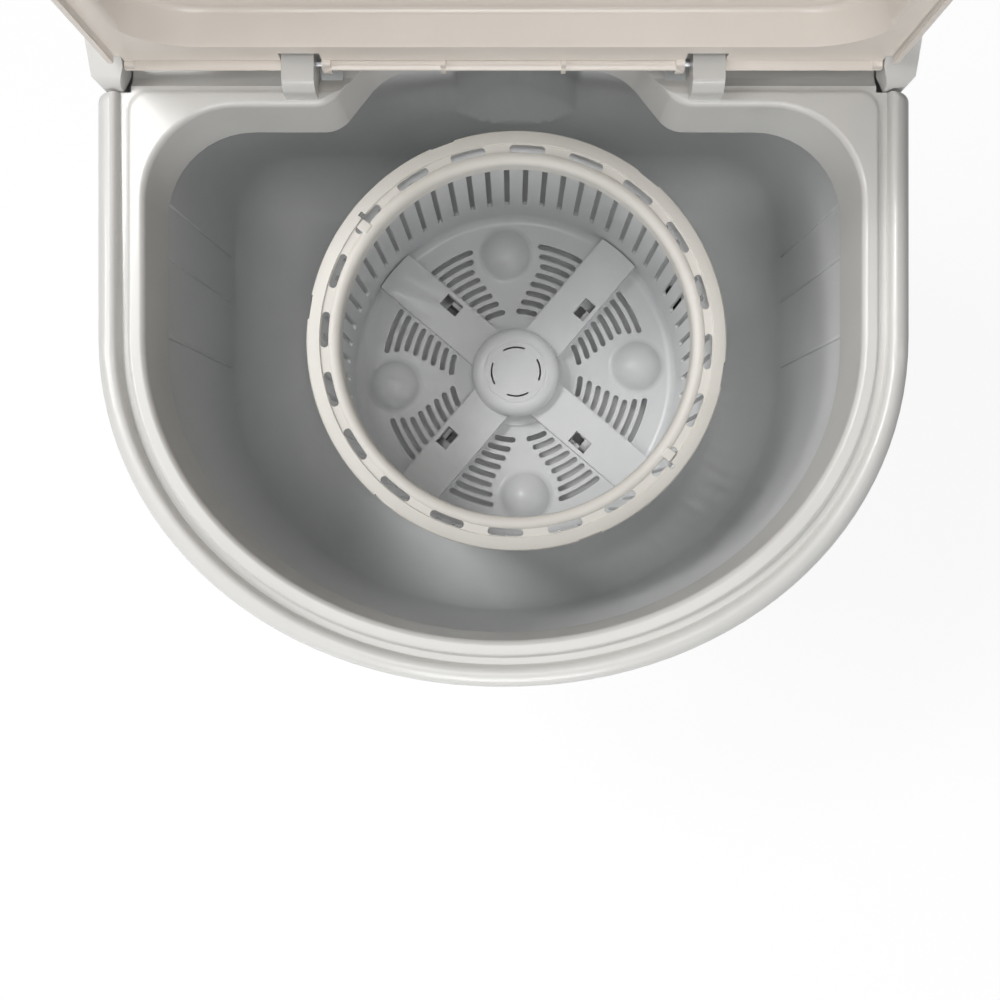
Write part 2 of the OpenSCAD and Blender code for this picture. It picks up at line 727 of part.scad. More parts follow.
module rear_console() color(white)
    difference() {
        intersection() {
            bar_x(console_side(0), body_w + 10);
            translate([0, 0, skirt_z]) linear_extrude(400) console_outline(0, cheek_y);
        }
        translate([0, 0, skirt_z - 1]) linear_extrude(deck_z - deck_t - skirt_z + 1)
            console_outline(skirt_t, cheek_y - 5);
        intersection() {
            bar_x(console_side(console_t), body_w + 10);
            translate([0, 0, skirt_z - 1]) linear_extrude(400) console_outline(console_t, console_front + console_t);
        }
        translate([-cheek_in, cheek_y - 10, deck_z - 6]) cube([2 * cheek_in, console_front - cheek_y + 10, 200]);
        mirrored() translate([0, 0, deck_z - 6]) linear_extrude(100)
            polygon([[cheek_in - 2, cheek_y + 7], [cheek_in, cheek_y + 7], [cheek_in + 3.6, cheek_y - 1], [cheek_in - 2, cheek_y - 1]]);
        mirrored() intersection() {
            bar_x(console_side(console_t), body_w + 10);
            translate([cheek_in + 3, cheek_y + 7, deck_z - deck_t - 1])
                cube([half_w - cheek_in - 5.5, console_front - cheek_y - 5, 60]);
        }
        translate([-cheek_in, console_front - 1, deck_z - 6]) cube([2 * cheek_in, 20, 6 - 1 + seat]);
        on_panel(0) translate([-panel_l / 2 - 0.3, -panel_d / 2 - 0.3, -panel_sink])
            cube([panel_l + 0.6, panel_d + 0.6, 20]);
        for (s = [-1, 1]) on_panel(s * knob_x) translate([0, 0, -20]) cylinder(r = spindle_r + 1, h = 40);
    }

module control_panel() color(pale)
    difference() {
        on_panel(0) translate([-panel_l / 2, -panel_d / 2, -panel_sink]) cube([panel_l, panel_d, panel_t]);
        for (s = [-1, 1]) on_panel(s * knob_x) translate([0, 0, -5]) cylinder(r = spindle_r + 1, h = 10);
    }

module knob(x) on_panel(x) translate([0, 0, panel_t - panel_sink + seat])
    difference() {
        union() {
            rotate_extrude() polygon([[0, 0], [knob_r, 0], [knob_r, 3], [knob_r - 1.2, 4.4], [knob_r - 4, 5], [0, 5]]);
            intersection() {
                rotate_extrude() polygon([[0, 0], [knob_r - 1, 0], [knob_r - 2.5, knob_h - 2], [knob_r - 4, knob_h], [0, knob_h]]);
                translate([-4.5, -knob_r, 0]) cube([9, 2 * knob_r, knob_h + 1]);
            }
        }
        translate([0, 0, -1]) cylinder(r = spindle_r + 0.02, h = knob_h - 3);
        translate([-0.8, knob_r - 9, knob_h - 0.6]) cube([1.6, 8, 2]);
    }

module wash_timer_knob() color(white) knob(-knob_x);

module mode_knob() color(white) knob(knob_x);

module spindle(x) on_panel(x) translate([0, 0, -14]) cylinder(r = spindle_r, h = 14 + knob_h - 4);

module timer_spindle() color(steel) spindle(-knob_x);

module mode_spindle() color(steel) spindle(knob_x);

// A clockwork timer and a rotary switch hang under the panel
module switch_body(x, w, h) on_panel(x) translate([0, 0, -console_t * cos(panel_tilt) - seat - h])
    difference() {
        union() {
            translate([-w / 2, -15, 0]) cube([w, 30, h - 2]);
            translate([-w / 2 - 8, -10, h - 2]) cube([w + 16, 20, 2]);
        }
        translate([0, 0, h - 14]) cylinder(r = spindle_r + 0.05, h = 20);
    }

module wash_timer() color(dark) switch_body(-knob_x, 52, 36);

module mode_switch() color(dark) switch_body(knob_x, 40, 26);

// Basket

module spin_basket() color(pale) at_axis()
    difference() {
        rotate_extrude($fn = 96) polygon([[basket_r - 4, basket_foot], [basket_out - 1, basket_foot],
            [basket_out, basket_foot + 1.5], [basket_out, basket_top - ring_sink - 1.8],
            [basket_r, basket_top - ring_sink - 1.8],
            [basket_r, floor_z - floor_t], [basket_r - 4, floor_z - floor_t]]);
        for (i = [0:wall_slots - 1]) rotate(360 * (i + 0.5) / wall_slots)
            translate([basket_r - 2, -wall_slot_w / 2, floor_z + wall_slot_up])
                cube([basket_t + 4, wall_slot_w, wall_slot_h]);
    }

// Cut of one arc slot with round ends, between the angles a0 and a1
module arc_slot(r, a0, a1) {
    rotate(a0) rotate_extrude(angle = a1 - a0, $fn = 96)
        translate([r - arc_w / 2, floor_z - 5]) square([arc_w, 10]);
    for (a = [a0, a1]) rotate(a) translate([r, 0, floor_z - 5.5]) cylinder(r = arc_w / 2 - 0.03, h = 11, $fn = 24);
}

// The slots stop clear of the arm on one side and go round the dome on the other
function slot_near_dome(r) = asin(min(dome_r + 6.5, 5 + 0.58 * (r - arc_first)) / r);
function slot_near_arm(r) = 45 - asin((arm_w / 2 + 3) / r);

module basket_base() color(pale) at_axis() rotate(arm_turn) {
    difference() {
        union() {
            translate([0, 0, floor_z - floor_t]) cylinder(r = basket_r - seat, h = floor_t, $fn = 96);
            intersection() {
                for (a = [45, 135]) rotate(a) translate([-basket_r, -arm_w / 2, floor_z - floor_t])
                    cube([2 * basket_r, arm_w, arm_h + floor_t]);
                cylinder(r = basket_r - 2 * seat, h = 2 * floor_z, $fn = 96);
            }
            for (a = [0:90:270]) rotate(a) translate([dome_at, 0, floor_z - dome_sink])
                intersection() {
                    sphere(r = dome_ball);
                    translate([-20, -20, dome_sink - 1]) cube(40);
                }
            translate([0, 0, floor_z - floor_t]) cylinder(r = hub_r, h = boss_top - floor_z + floor_t);
            translate([0, 0, floor_z - floor_t]) cylinder(r = hub_r + 4.5, h = floor_t + 3);
        }
        for (a = [45, 135]) rotate(a) translate([4 - basket_r, floor_t - arm_w / 2, floor_z - floor_t - 1])
            cube([2 * basket_r - 8, arm_w - 2 * floor_t, arm_h + 1]);
        translate([0, 0, floor_z - floor_t - 1]) cylinder(r = hub_r - floor_t, h = 60);
        for (a = [0:90:270]) rotate(a) {
            translate([dome_at, 0, floor_z - dome_sink]) sphere(r = dome_ball - 2);
            for (i = [0:arc_slots - 1]) let (r = arc_first + i * arc_pitch) {
                arc_slot(r, slot_near_dome(r), slot_near_arm(r));
                arc_slot(r, -slot_near_arm(r), -slot_near_dome(r));
            }
            rotate(45) translate([50, -10.4, arm_top - 5]) cube([12, 8, 10]);
        }
    }
}
dome_ball = (dome_r * dome_r + dome_h * dome_h) / (2 * dome_h);
dome_sink = dome_ball - dome_h;

// Ring clipped over the top of the basket, with a slotted channel round it
module basket_ring() color(warm) at_axis()
    difference() {
        z = basket_top;
        rotate_extrude($fn = 96) polygon([[ring_out, z - 14], [ring_out, z - 1.5], [ring_out - 1, z - 0.5],
            [ring_out - 6, z], [ring_out - 6.4, z - 1], [ring_out - 6.5, z - ring_sink],
            [ring_in + 5.1, z - ring_sink], [ring_in + 4.9, z - 1.2], [ring_in + 4, z - 0.2],
            [ring_in + 2.4, z], [ring_in + 0.9, z - 0.8], [ring_in, z - 2.4], [ring_in, z - 12], [ring_in + 1.6, z - 12],
            [ring_in + 1.6, z - ring_sink - 1.8], [ring_out - 2.5, z - ring_sink - 1.8], [ring_out - 2.5, z - 14]]);
        for (i = [0:ring_slots - 1]) rotate(14.7 + i * 360 / ring_slots - 4.2) ring_slot(ring_out - 8.9, 8.4, 1.95);
        for (i = [0:5]) rotate(50.7 + 60 * i) translate([ring_out - 1, -6, z - 9]) cube([5, 12, 20]);
        for (a = [141, 321]) rotate(a) translate([ring_out - 7.6, -1.3, z - ring_sink - 3]) cube([3.4, 2.6, 12]);
    }
module ring_slot(r, a, w) {
    rotate_extrude(angle = a, $fn = 96) translate([r - w, basket_top - 12]) square([2 * w, 16]);
    for (b = [0, a]) rotate(b) translate([r, 0, basket_top - 12.5]) cylinder(r = w - 0.03, h = 17, $fn = 24);
}

module basket_hub_cap() color(pale) at_axis(boss_top) {
    slit_r = 14.4;
    difference() {
        union() {
            rotate_extrude() polygon(concat([[0, 0], [hub_r, 0]],
                arc_points([hub_r - 6, cap_h - 6], 6, 0, 90, 6), [[0, cap_h]]));
            translate([0, 0, -4]) cylinder(r = hub_r - floor_t - 0.2, h = 5);
        }
        translate([0, 0, -5]) cylinder(r = hub_r - floor_t - 2, h = 5 + cap_h - 2.5);
        for (a = [0:90:270]) rotate(a + arm_turn - 24) rotate_extrude(angle = 48)
            translate([slit_r - 0.6, cap_h - 4]) square([1.2, 6]);
    }
}

// Pulsator, shaft and bearings

module pulsator() color(grey) at_axis() rotate(arm_turn)
    difference() {
        union() {
            rotate_extrude($fn = 96) polygon([[0, plate_z], [pulsator_r - 3, plate_z], [pulsator_r, plate_z + 3],
                [pulsator_r, plate_z + pulsator_t + 2], [pulsator_r - 3, plate_z + pulsator_t + 2],
                [pulsator_r - 6, plate_z + pulsator_t], [22, plate_z + pulsator_t], [14, plate_z + pulsator_t + 6],
                [14, pulsator_hub_top], [0, pulsator_hub_top]]);
            for (a = [45, 135]) rotate(a) difference() {
                translate([6 - pulsator_r, -vane_w / 2, plate_z + 1]) cube([2 * pulsator_r - 12, vane_w, vane_top - plate_z - 1]);
                for (s = [0, 180]) rotate(s) translate([16, 2.4 - vane_w / 2, plate_z - 1])
                    cube([pulsator_r - 24.4, vane_w - 4.8, vane_top - plate_z - 5.5]);
            }
        }
        translate([0, 0, plate_z - 1]) cylinder(r = shaft_r + 0.02, h = shaft_top - plate_z + 1.3);
        translate([0, 0, shaft_top]) cylinder(r = 2.55, h = 20);
        translate([0, 0, pulsator_hub_top]) cylinder(r = 8, h = 5);
        for (a = [45:90:315]) rotate(a) translate([49.5, -10.9, vane_top - 5]) cube([13, 9, 10]);
    }

module pulsator_screw() color(steel) at_axis() {
    translate([0, 0, shaft_top - 10]) cylinder(r = 2.4, h = pulsator_hub_top - shaft_top + 11);
    translate([0, 0, pulsator_hub_top + 0.1]) difference() {
        cylinder(r = 5.5, h = 3.4);
        for (a = [0, 90]) rotate(a) translate([-3, -0.6, 1.6]) cube([6, 1.2, 3]);
    }
}

module drive_shaft() color(steel) at_axis()
    difference() {
        translate([0, 0, shaft_foot]) cylinder(r = shaft_r, h = shaft_top - shaft_foot);
        translate([0, 0, shaft_top - 11]) cylinder(r = 2.45, h = 12);
    }

module shaft_seal() color(dark) at_axis(housing_z - seal_h + 0.1)
    tube(seal_r, shaft_r + shaft_fit, seal_h + tub_t + 4);

module bearing(z) at_axis(z)
    difference() {
        tube(bearing_r, shaft_r + shaft_fit, bearing_h);
        for (z1 = [-1, bearing_h - 0.8]) translate([0, 0, z1]) tube(bearing_r - 3, shaft_r + 2.6, 1.8);
    }

module upper_bearing() color(steel) bearing(upper_z);

module lower_bearing() color(steel) bearing(lower_z);

// Ribbed flange under the tub with the two bearings in its neck
module bearing_housing() color(steel) at_axis()
    difference() {
        union() {
            translate([0, 0, housing_z - 6]) cylinder(r = 46, h = 6);
            translate([0, 0, housing_foot]) cylinder(r = bearing_r + 4, h = housing_z - housing_foot);
            for (a = [0:60:300]) rotate(a) rotate([90, 0, 0]) translate([0, 0, -2]) linear_extrude(4)
                polygon([[bearing_r, housing_z - 5], [43, housing_z - 5], [bearing_r + 3, housing_foot + 8],
                    [bearing_r, housing_foot + 8]]);
        }
        translate([0, 0, upper_z - 0.1]) cylinder(r = bearing_r + 0.02, h = bearing_h + 1);
        translate([0, 0, housing_foot - 1]) cylinder(r = bearing_r + 0.02, h = bearing_h + 4.1);
        translate([0, 0, housing_foot - 1]) cylinder(r = shaft_r + 3, h = 200);
        translate([0, 0, housing_z - seal_h]) cylinder(r = seal_r + 0.02, h = 20);
        for (a = [30:60:330]) rotate(a) translate([38, 0, housing_z - 8]) cylinder(r = 2.55, h = 10);
    }

module housing_bolts() color(steel) housing_bolt_places() {
        translate([0, 0, housing_z - 7]) cylinder(r = 2.5, h = 11);
        translate([0, 0, housing_z - 10.1]) cylinder(r = 4.6, h = 4, $fn = 6);
    }

// Pulleys with a V groove for the belt
function v_groove(r) = [[r + 4, 0.5], [r + 4, 2.2], [r - 2.1, 4],
    [r - 2.1, pulley_h - 4], [r + 4, pulley_h - 2.2], [r + 4, pulley_h - 0.5]];

module driven_pulley() color(dark) at_axis(pulley_z)
    difference() {
        rotate_extrude($fn = 96) polygon(concat([[0, 2], [big_pulley_r - 6, 2], [big_pulley_r - 6, 0],
            [big_pulley_r + 3.5, 0]], v_groove(big_pulley_r), [[big_pulley_r + 3.5, pulley_h],
            [big_pulley_r - 6, pulley_h], [big_pulley_r - 6, 6], [14, 6], [14, pulley_h], [0, pulley_h]]));
        translate([0, 0, -1]) cylinder(r = shaft_r + 0.02, h = pulley_h + 2);
        for (a = [0:60:300]) rotate(a) translate([33, 0, -1]) cylinder(r = 11, h = 12);
    }

module pulley_nut() color(steel) at_axis(pulley_z - 6)
    difference() {
        cylinder(r = 9.5, h = 5.9, $fn = 6);
        translate([0, 0, -1]) cylinder(r = shaft_r + 0.02, h = 8);
    }

// Belt round both pulleys, its straight runs tangent to them
belt_lean = asin((big_pulley_r - small_pulley_r) / belt_centres);
belt_z = pulley_z + (pulley_h - belt_w) / 2;
module drive_belt() color(dark) at_axis(belt_z)
    difference() {
        linear_extrude(belt_w) belt_shape(belt_t - 1.8);
        translate([0, 0, -1]) linear_extrude(belt_w + 2) belt_shape(-1.8);
    }
module belt_shape(o) {
    c = cos(belt_lean);
    s = sin(belt_lean);
    big = big_pulley_r + o;
    small = small_pulley_r + o;
    circle(r = big, $fn = 96);
    translate([0, belt_centres]) circle(r = small);
    polygon([[-big * c, big * s], [big * c, big * s], [small * c, belt_centres + small * s],
        [-small * c, belt_centres + small * s]]);
}

// Motor with two end bells and cooling slots
module motor() color(steel) translate([axis_x, motor_y, motor_foot])
    difference() {
        union() {
            rotate_extrude($fn = 96) polygon([[0, 0], [motor_r - 14, 0], [motor_r - 6, 4], [motor_r - 4, 22],
                [motor_r, 22], [motor_r, motor_h - 26], [motor_r - 4, motor_h - 26], [motor_r - 6, motor_h - 8],
                [motor_r - 16, motor_h - 4], [14, motor_h - 4], [14, motor_h], [0, motor_h]]);
            for (a = [45:90:315]) rotate(a) translate([mount_at - 16, -10, 0]) cube([30, 20, 4]);
        }
        translate([0, 0, -1]) cylinder(r = motor_shaft_r + shaft_fit, h = motor_h + 2);
        for (a = [45:90:315]) rotate(a) translate([mount_at + 6, 0, -1]) cylinder(r = 3, h = 8);
        for (a = [0:30:330]) rotate(a) translate([motor_r - 16, -3, motor_h - 21]) cube([20, 6, 10]);
    }

module motor_shaft() color(steel) translate([axis_x, motor_y, motor_foot - 4])
    cylinder(r = motor_shaft_r, h = pulley_z + pulley_h + 3 - motor_foot + 4);

module motor_pulley() color(dark) translate([axis_x, motor_y, pulley_z])
    difference() {
        rotate_extrude() polygon(concat([[0, 0], [small_pulley_r + 3.5, 0]], v_groove(small_pulley_r),
            [[small_pulley_r + 3.5, pulley_h], [0, pulley_h]]));
        translate([0, 0, -1]) cylinder(r = motor_shaft_r + 0.02, h = pulley_h + 2);
    }

module motor_bracket() color(steel)
    difference() {
        translate([axis_x - motor_r - 24, motor_y - 49, bracket_z]) cube([2 * motor_r + 48, 98, bracket_t]);
        translate([axis_x, motor_y, bracket_z - 1]) cylinder(r = 18, h = bracket_t + 2);
        motor_mount_places() translate([0, 0, bracket_z - 1]) cylinder(r = 3, h = bracket_t + 2);
        for (p = bracket_posts()) translate([p.x, p.y, bracket_z - 1]) cylinder(r = 3, h = bracket_t + 2);
    }

module motor_mount_places()
    translate([axis_x, motor_y, 0]) for (a = [45:90:315]) rotate(a) translate([mount_at + 6, 0, 0]) children();

module motor_mounts() color(dark) motor_mount_places() translate([0, 0, bracket_z + bracket_t + 0.1])
    tube(9, 3, mount_h - 0.2);

module motor_bolts() color(steel) {
    motor_mount_places() {
        translate([0, 0, bracket_z - 5]) cylinder(r = 2.5, h = mount_h + bracket_t + 4 + 9);
        translate([0, 0, motor_foot + 4.1]) cylinder(r = 5, h = 4, $fn = 6);
        translate([0, 0, bracket_z - 4.6]) cylinder(r = 5, h = 4.5, $fn = 6);
    }
    for (p = bracket_posts()) translate([p.x, p.y, 0]) {
        translate([0, 0, bracket_z - 12]) cylinder(r = 2, h = 12 + bracket_t);
        translate([0, 0, bracket_z + bracket_t + 0.1]) cylinder(r = 5, h = 3);
    }
}

cap_x = -112;
cap_y = 95;
module capacitor() color(white) translate([cap_x, cap_y - capacitor_l / 2, case_foot + capacitor_r + 3]) rotate([-90, 0, 0]) {
    cylinder(r = capacitor_r, h = capacitor_l);
    for (s = [-1, 1]) translate([s * 6 - 1, -3, capacitor_l]) cube([2, 6, 8]);
}

module capacitor_clip() color(steel) translate([cap_x, cap_y - 7, case_foot + capacitor_r + 3]) rotate([-90, 0, 0])
    difference() {
        union() {
            cylinder(r = capacitor_r + 1.6, h = 14);
            translate([-capacitor_r - 14, capacitor_r + 1.4, 0]) cube([2 * capacitor_r + 28, 1.6, 14]);
        }
        translate([0, 0, -1]) cylinder(r = capacitor_r + 0.1, h = 16);
    }

// Water ways

bend_r = 30;
module drain_pipe() color(grey) {
    end_y = case_back - cup_depth - 2;
    difference() {
        union() {
            translate([drain_x, sump_y, drain_z + bend_r]) cylinder(r = drain_r, h = tub_under - drain_z - bend_r);
            drain_bend(drain_r);
            out_back(drain_x, sump_y + bend_r, drain_z) cylinder(r = drain_r, h = case_back - 2 - sump_y - bend_r);
            out_back(drain_x, end_y, drain_z) cup(drain_r);
        }
        translate([drain_x, sump_y, drain_z + bend_r]) cylinder(r = drain_r - drain_t, h = 400);
        drain_bend(drain_r - drain_t);
        out_back(drain_x, sump_y + bend_r, drain_z) cylinder(r = drain_r - drain_t, h = 400);
    }
}
module drain_bend(r) translate([drain_x, sump_y + bend_r, drain_z + bend_r]) rotate([90, 0, 90]) rotate(180)
    rotate_extrude(angle = 90) translate([bend_r, 0]) circle(r = r);

// Cup that sets a spigot back into the wall
module cup(r) difference() {
    cylinder(r = r + cup_gap + cup_wall, h = cup_depth + 2);
    translate([0, 0, cup_wall]) cylinder(r = r + cup_gap, h = cup_depth + 2);
}

inlet_y = tub_rear - tub_draft + scoop_d + tub_t - 3;
module water_inlet() color(grey) {
    end_y = case_back - cup_depth - 2;
    difference() {
        union() {
            out_back(axis_x, inlet_y, inlet_z) cylinder(r = inlet_r, h = case_back - 2 - inlet_y);
            out_back(axis_x, end_y, inlet_z) cup(inlet_r);
        }
        out_back(axis_x, tub_rear, inlet_z) cylinder(r = inlet_r - 2, h = 400);
        translate([axis_x, tub_rear - tub_draft - scoop_r + scoop_d, inlet_z - 20])
            cylinder(r = scoop_r + tub_t + 0.03, h = 40);
    }
}

module cord_gland() color(dark) out_back(gland_x, rear_in - 4, gland_z)
    difference() {
        union() {
            cylinder(r = 7, h = case_wall + 6);
            cylinder(r = 9.5, h = 3.7);
        }
        translate([0, 0, -1]) cylinder(r = gland_bore, h = case_wall + 10);
    }

outer_case();
base_pan();
rubber_feet();
rear_cover();
cover_screws();
carry_grips();
wash_tub();
top_frame();
rear_console();
control_panel();
wash_timer_knob();
mode_knob();
timer_spindle();
mode_spindle();
wash_timer();
mode_switch();
lid();
hinge_pins();
spin_basket();
basket_base();
basket_ring();
basket_hub_cap();
pulsator();
pulsator_screw();
drive_shaft();
shaft_seal();
upper_bearing();
lower_bearing();
bearing_housing();
housing_bolts();
driven_pulley();
pulley_nut();
drive_belt();
motor();
motor_shaft();
motor_pulley();
motor_bracket();
motor_mounts();
motor_bolts();
capacitor();
capacitor_clip();
drain_pipe();
water_inlet();
cord_gland();
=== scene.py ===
import math

import bpy
from mathutils import Matrix, Vector


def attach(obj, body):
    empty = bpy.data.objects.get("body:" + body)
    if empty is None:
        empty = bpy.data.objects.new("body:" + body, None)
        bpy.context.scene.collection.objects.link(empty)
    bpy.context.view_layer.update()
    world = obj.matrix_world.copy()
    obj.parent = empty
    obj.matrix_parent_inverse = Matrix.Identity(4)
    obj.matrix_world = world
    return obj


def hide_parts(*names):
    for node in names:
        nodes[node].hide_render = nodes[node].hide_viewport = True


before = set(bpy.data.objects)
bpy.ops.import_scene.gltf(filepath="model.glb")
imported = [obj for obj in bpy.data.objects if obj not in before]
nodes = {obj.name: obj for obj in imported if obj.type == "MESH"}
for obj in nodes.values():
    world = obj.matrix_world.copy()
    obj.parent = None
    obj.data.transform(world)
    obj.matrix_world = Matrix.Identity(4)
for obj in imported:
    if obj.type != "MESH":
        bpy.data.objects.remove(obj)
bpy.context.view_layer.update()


# The camera hangs over the front of the machine and looks straight down, as it stood for the
# photograph: over the drive axis, a little in front of it, and 650 mm above the deck.
camera_data = bpy.data.cameras.new("camera")
camera_data.sensor_width = 36
camera_data.lens = 51.4
camera_data.shift_x = -0.013
camera_data.shift_y = 0.012
camera_data.clip_end = 20
camera = bpy.data.objects.new("camera", camera_data)
camera.location = (0.0043, -0.099, 1.150)
bpy.context.scene.collection.objects.link(camera)
bpy.context.scene.camera = camera


# Base pan and feet: a grey polypropylene pan that closes the case from below and carries the motor,
# on four turned rubber feet whose pegs are pushed up through the pan.
def linear(hex_code):
    """An sRGB hex colour as the linear colour that a shader wants."""
    parts = [int(hex_code[i:i + 2], 16) / 255 for i in (1, 3, 5)]
    return [c / 12.92 if c <= 0.04045 else ((c + 0.055) / 1.055) ** 2.4 for c in parts] + [1]


def add_node(tree, kind, settings, links):
    """Adds a node. Settings name its inputs or its own properties, links what feeds an input."""
    made = tree.nodes.new(kind)
    for name, value in settings.items():
        if isinstance(name, str) and name not in made.inputs:
            setattr(made, name, value)
        else:
            made.inputs[name].default_value = value
    for name, (source, output) in links.items():
        tree.links.new(source.outputs[output], made.inputs[name])
    return made


def new_material(name):
    material = bpy.data.materials.new(name)
    material.use_nodes = True
    material.node_tree.nodes.clear()
    return material, material.node_tree


def moulded_plastic(name, light, dark, roughness, mottle_mm, grain_mm, grain_depth, coat=0.0):
    """Moulded plastic: two close tones in soft patches, fine grain from the mould, and a slight
    waviness over tens of millimetres where the wall cooled unevenly. A mould's own grain is finer
    than 0.3 mm and would not show, so it is drawn coarser."""
    material, tree = new_material(name)
    place = add_node(tree, "ShaderNodeTexCoord", {}, {})
    patches = add_node(tree, "ShaderNodeTexNoise",
                       {"Scale": 1000 / mottle_mm, "Detail": 4, "Roughness": 0.55},
                       {"Vector": (place, "Object")})
    tone = add_node(tree, "ShaderNodeValToRGB", {}, {"Fac": (patches, "Fac")})
    tone.color_ramp.elements[0].position = 0.32
    tone.color_ramp.elements[0].color = linear(dark)
    tone.color_ramp.elements[1].position = 0.68
    tone.color_ramp.elements[1].color = linear(light)
    gloss = add_node(tree, "ShaderNodeMapRange",
                     {"From Min": 0.3, "From Max": 0.7,
                      "To Min": roughness * 0.85, "To Max": roughness * 1.2},
                     {"Value": (patches, "Fac")})
    grain = add_node(tree, "ShaderNodeTexNoise", {"Scale": 1000 / grain_mm, "Detail": 3},
                     {"Vector": (place, "Object")})
    fine = add_node(tree, "ShaderNodeBump", {"Strength": 0.35, "Distance": grain_depth / 1000},
                    {"Height": (grain, "Fac")})
    bump = add_node(tree, "ShaderNodeBump", {"Strength": 0.5, "Distance": 0.00012},
                    {"Height": (patches, "Fac"), "Normal": (fine, "Normal")})
    shader = add_node(tree, "ShaderNodeBsdfPrincipled",
                      {"IOR": 1.49, "Coat Weight": coat, "Coat Roughness": 0.12},
                      {"Base Color": (tone, "Color"), "Roughness": (gloss, "Result"),
                       "Normal": (bump, "Normal")})
    add_node(tree, "ShaderNodeOutputMaterial", {}, {"Surface": (shader, "BSDF")})
    return material


def finish(piece, material):
    """Gives a piece or a CAD node one material all over."""
    piece.data.materials.clear()
    piece.data.materials.append(material)


def select_only(piece):
    bpy.ops.object.select_all(action="DESELECT")
    piece.select_set(True)
    bpy.context.view_layer.objects.active = piece


def soften(piece, edge_mm, sharp=40, smooth=35, segments=2):
    """Rounds the sharp edges as a mould does, and smooths the round faces."""
    select_only(piece)
    if edge_mm > 0:
        edge = piece.modifiers.new("edge", "BEVEL")
        edge.width = edge_mm / 1000
        edge.segments = segments
        edge.limit_method = "ANGLE"
        edge.angle_limit = math.radians(sharp)
        edge.miter_outer = "MITER_ARC"
        bpy.ops.object.modifier_apply(modifier="edge")
    bpy.ops.object.shade_smooth_by_angle(angle=math.radians(smooth))
    piece.modifiers.new("even", "WEIGHTED_NORMAL").keep_sharp = True
    bpy.ops.object.modifier_apply(modifier="even")


def merged_copy(node_name, piece_name, edge_mm, sharp=40, smooth=35, merge_mm=0.02):
    """A copy of a CAD node, its loose triangles joined to whole faces and its edges rounded."""
    piece = nodes[node_name].copy()
    piece.data = nodes[node_name].data.copy()
    piece.name = piece_name
    for key in list(piece.keys()):
        del piece[key]
    piece.parent = None
    bpy.context.scene.collection.objects.link(piece)
    select_only(piece)
    bpy.ops.object.mode_set(mode="EDIT")
    bpy.ops.mesh.select_all(action="SELECT")
    bpy.ops.mesh.remove_doubles(threshold=merge_mm / 1000)
    bpy.ops.mesh.dissolve_limited(angle_limit=math.radians(0.4))
    bpy.ops.object.mode_set(mode="OBJECT")
    soften(piece, edge_mm, sharp, smooth)
    return piece


drive_axis = (6, -16)  # the upright axis of shaft, pulsator and basket (mm)


def turn(name, profile, steps, centre=drive_axis):
    """Spins a closed section, given as (radius, height) in mm, round an upright axis."""
    bpy.ops.object.select_all(action="DESELECT")
    bpy.ops.mesh.primitive_circle_add(vertices=len(profile), radius=0.05, location=(0, 0, 0))
    piece = bpy.context.object
    piece.name = name
    for vertex, (radius, height) in zip(piece.data.vertices, profile):
        vertex.co = (radius / 1000, 0, height / 1000)
    bpy.ops.object.mode_set(mode="EDIT")
    bpy.ops.mesh.select_all(action="SELECT")
    bpy.ops.mesh.spin(steps=steps, angle=2 * math.pi, center=(0, 0, 0), axis=(0, 0, 1))
    bpy.ops.mesh.select_all(action="SELECT")
    bpy.ops.mesh.remove_doubles(threshold=0.00001)
    bpy.ops.mesh.delete_loose()
    bpy.ops.mesh.select_all(action="SELECT")
    bpy.ops.mesh.normals_make_consistent(inside=False)
    bpy.ops.object.mode_set(mode="OBJECT")
    piece.data.transform(Matrix.Translation((centre[0] / 1000, centre[1] / 1000, 0)))
    return piece


def join(parts):
    """Makes one object of several."""
    bpy.ops.object.select_all(action="DESELECT")
    for part in parts:
        part.select_set(True)
    bpy.context.view_layer.objects.active = parts[0]
    bpy.ops.object.join()
    return parts[0]


# Grey polypropylene, lightly textured: the eye sees an even grey with a weak broad sheen
pan_grey = moulded_plastic("pan_polypropylene", "#8F9294", "#85888A", 0.5, 50, 1.2, 0.08)
pan = merged_copy("base_pan", "pan_moulding", 0)
finish(pan, pan_grey)
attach(pan, "cabinet")
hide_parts("base_pan")
foot_section = [(0, 0.6), (3, 0.6), (3.6, 0), (6.4, 0), (6.8, 0.9), (8, 0.9), (8.4, 0),
                (11.2, 0), (11.6, 0.9), (12.6, 0.9), (13, 0), (14, 0), (15.3, 0.5), (16, 2),
                (15.6, 5), (14.5, 11), (4, 11), (4, 18.6), (3.6, 19), (0, 19)]
foot_places = ((-114.7, -99), (114.7, -99), (-138.75, 139), (138.75, 139))
feet = join([turn("foot", foot_section, 64, place) for place in foot_places])
feet.name = "turned_feet"
soften(feet, 0)
# Black rubber: dull, with a dusty bloom in patches
foot_rubber = moulded_plastic("black_rubber", "#262626", "#1A1A1B", 0.78, 14, 0.5, 0.07)
finish(feet, foot_rubber)
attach(feet, "cabinet")
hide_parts("rubber_feet")


# Outer case: one shell of white polypropylene, open at the top and at the bottom. It is moulded
# with a slight taper, and the frame and the console are pushed over its upper edge.
# White polypropylene from a smooth mould: a clean white with a soft, slightly wavy sheen
case_pp = moulded_plastic("white_case_polypropylene", "#D9D8D5", "#D6D5D2", 0.36,
                          60, 0.9, 0.05, 0.12)
case_shell = merged_copy("outer_case", "case_shell", 0)
finish(case_shell, case_pp)
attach(case_shell, "cabinet")
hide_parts("outer_case")


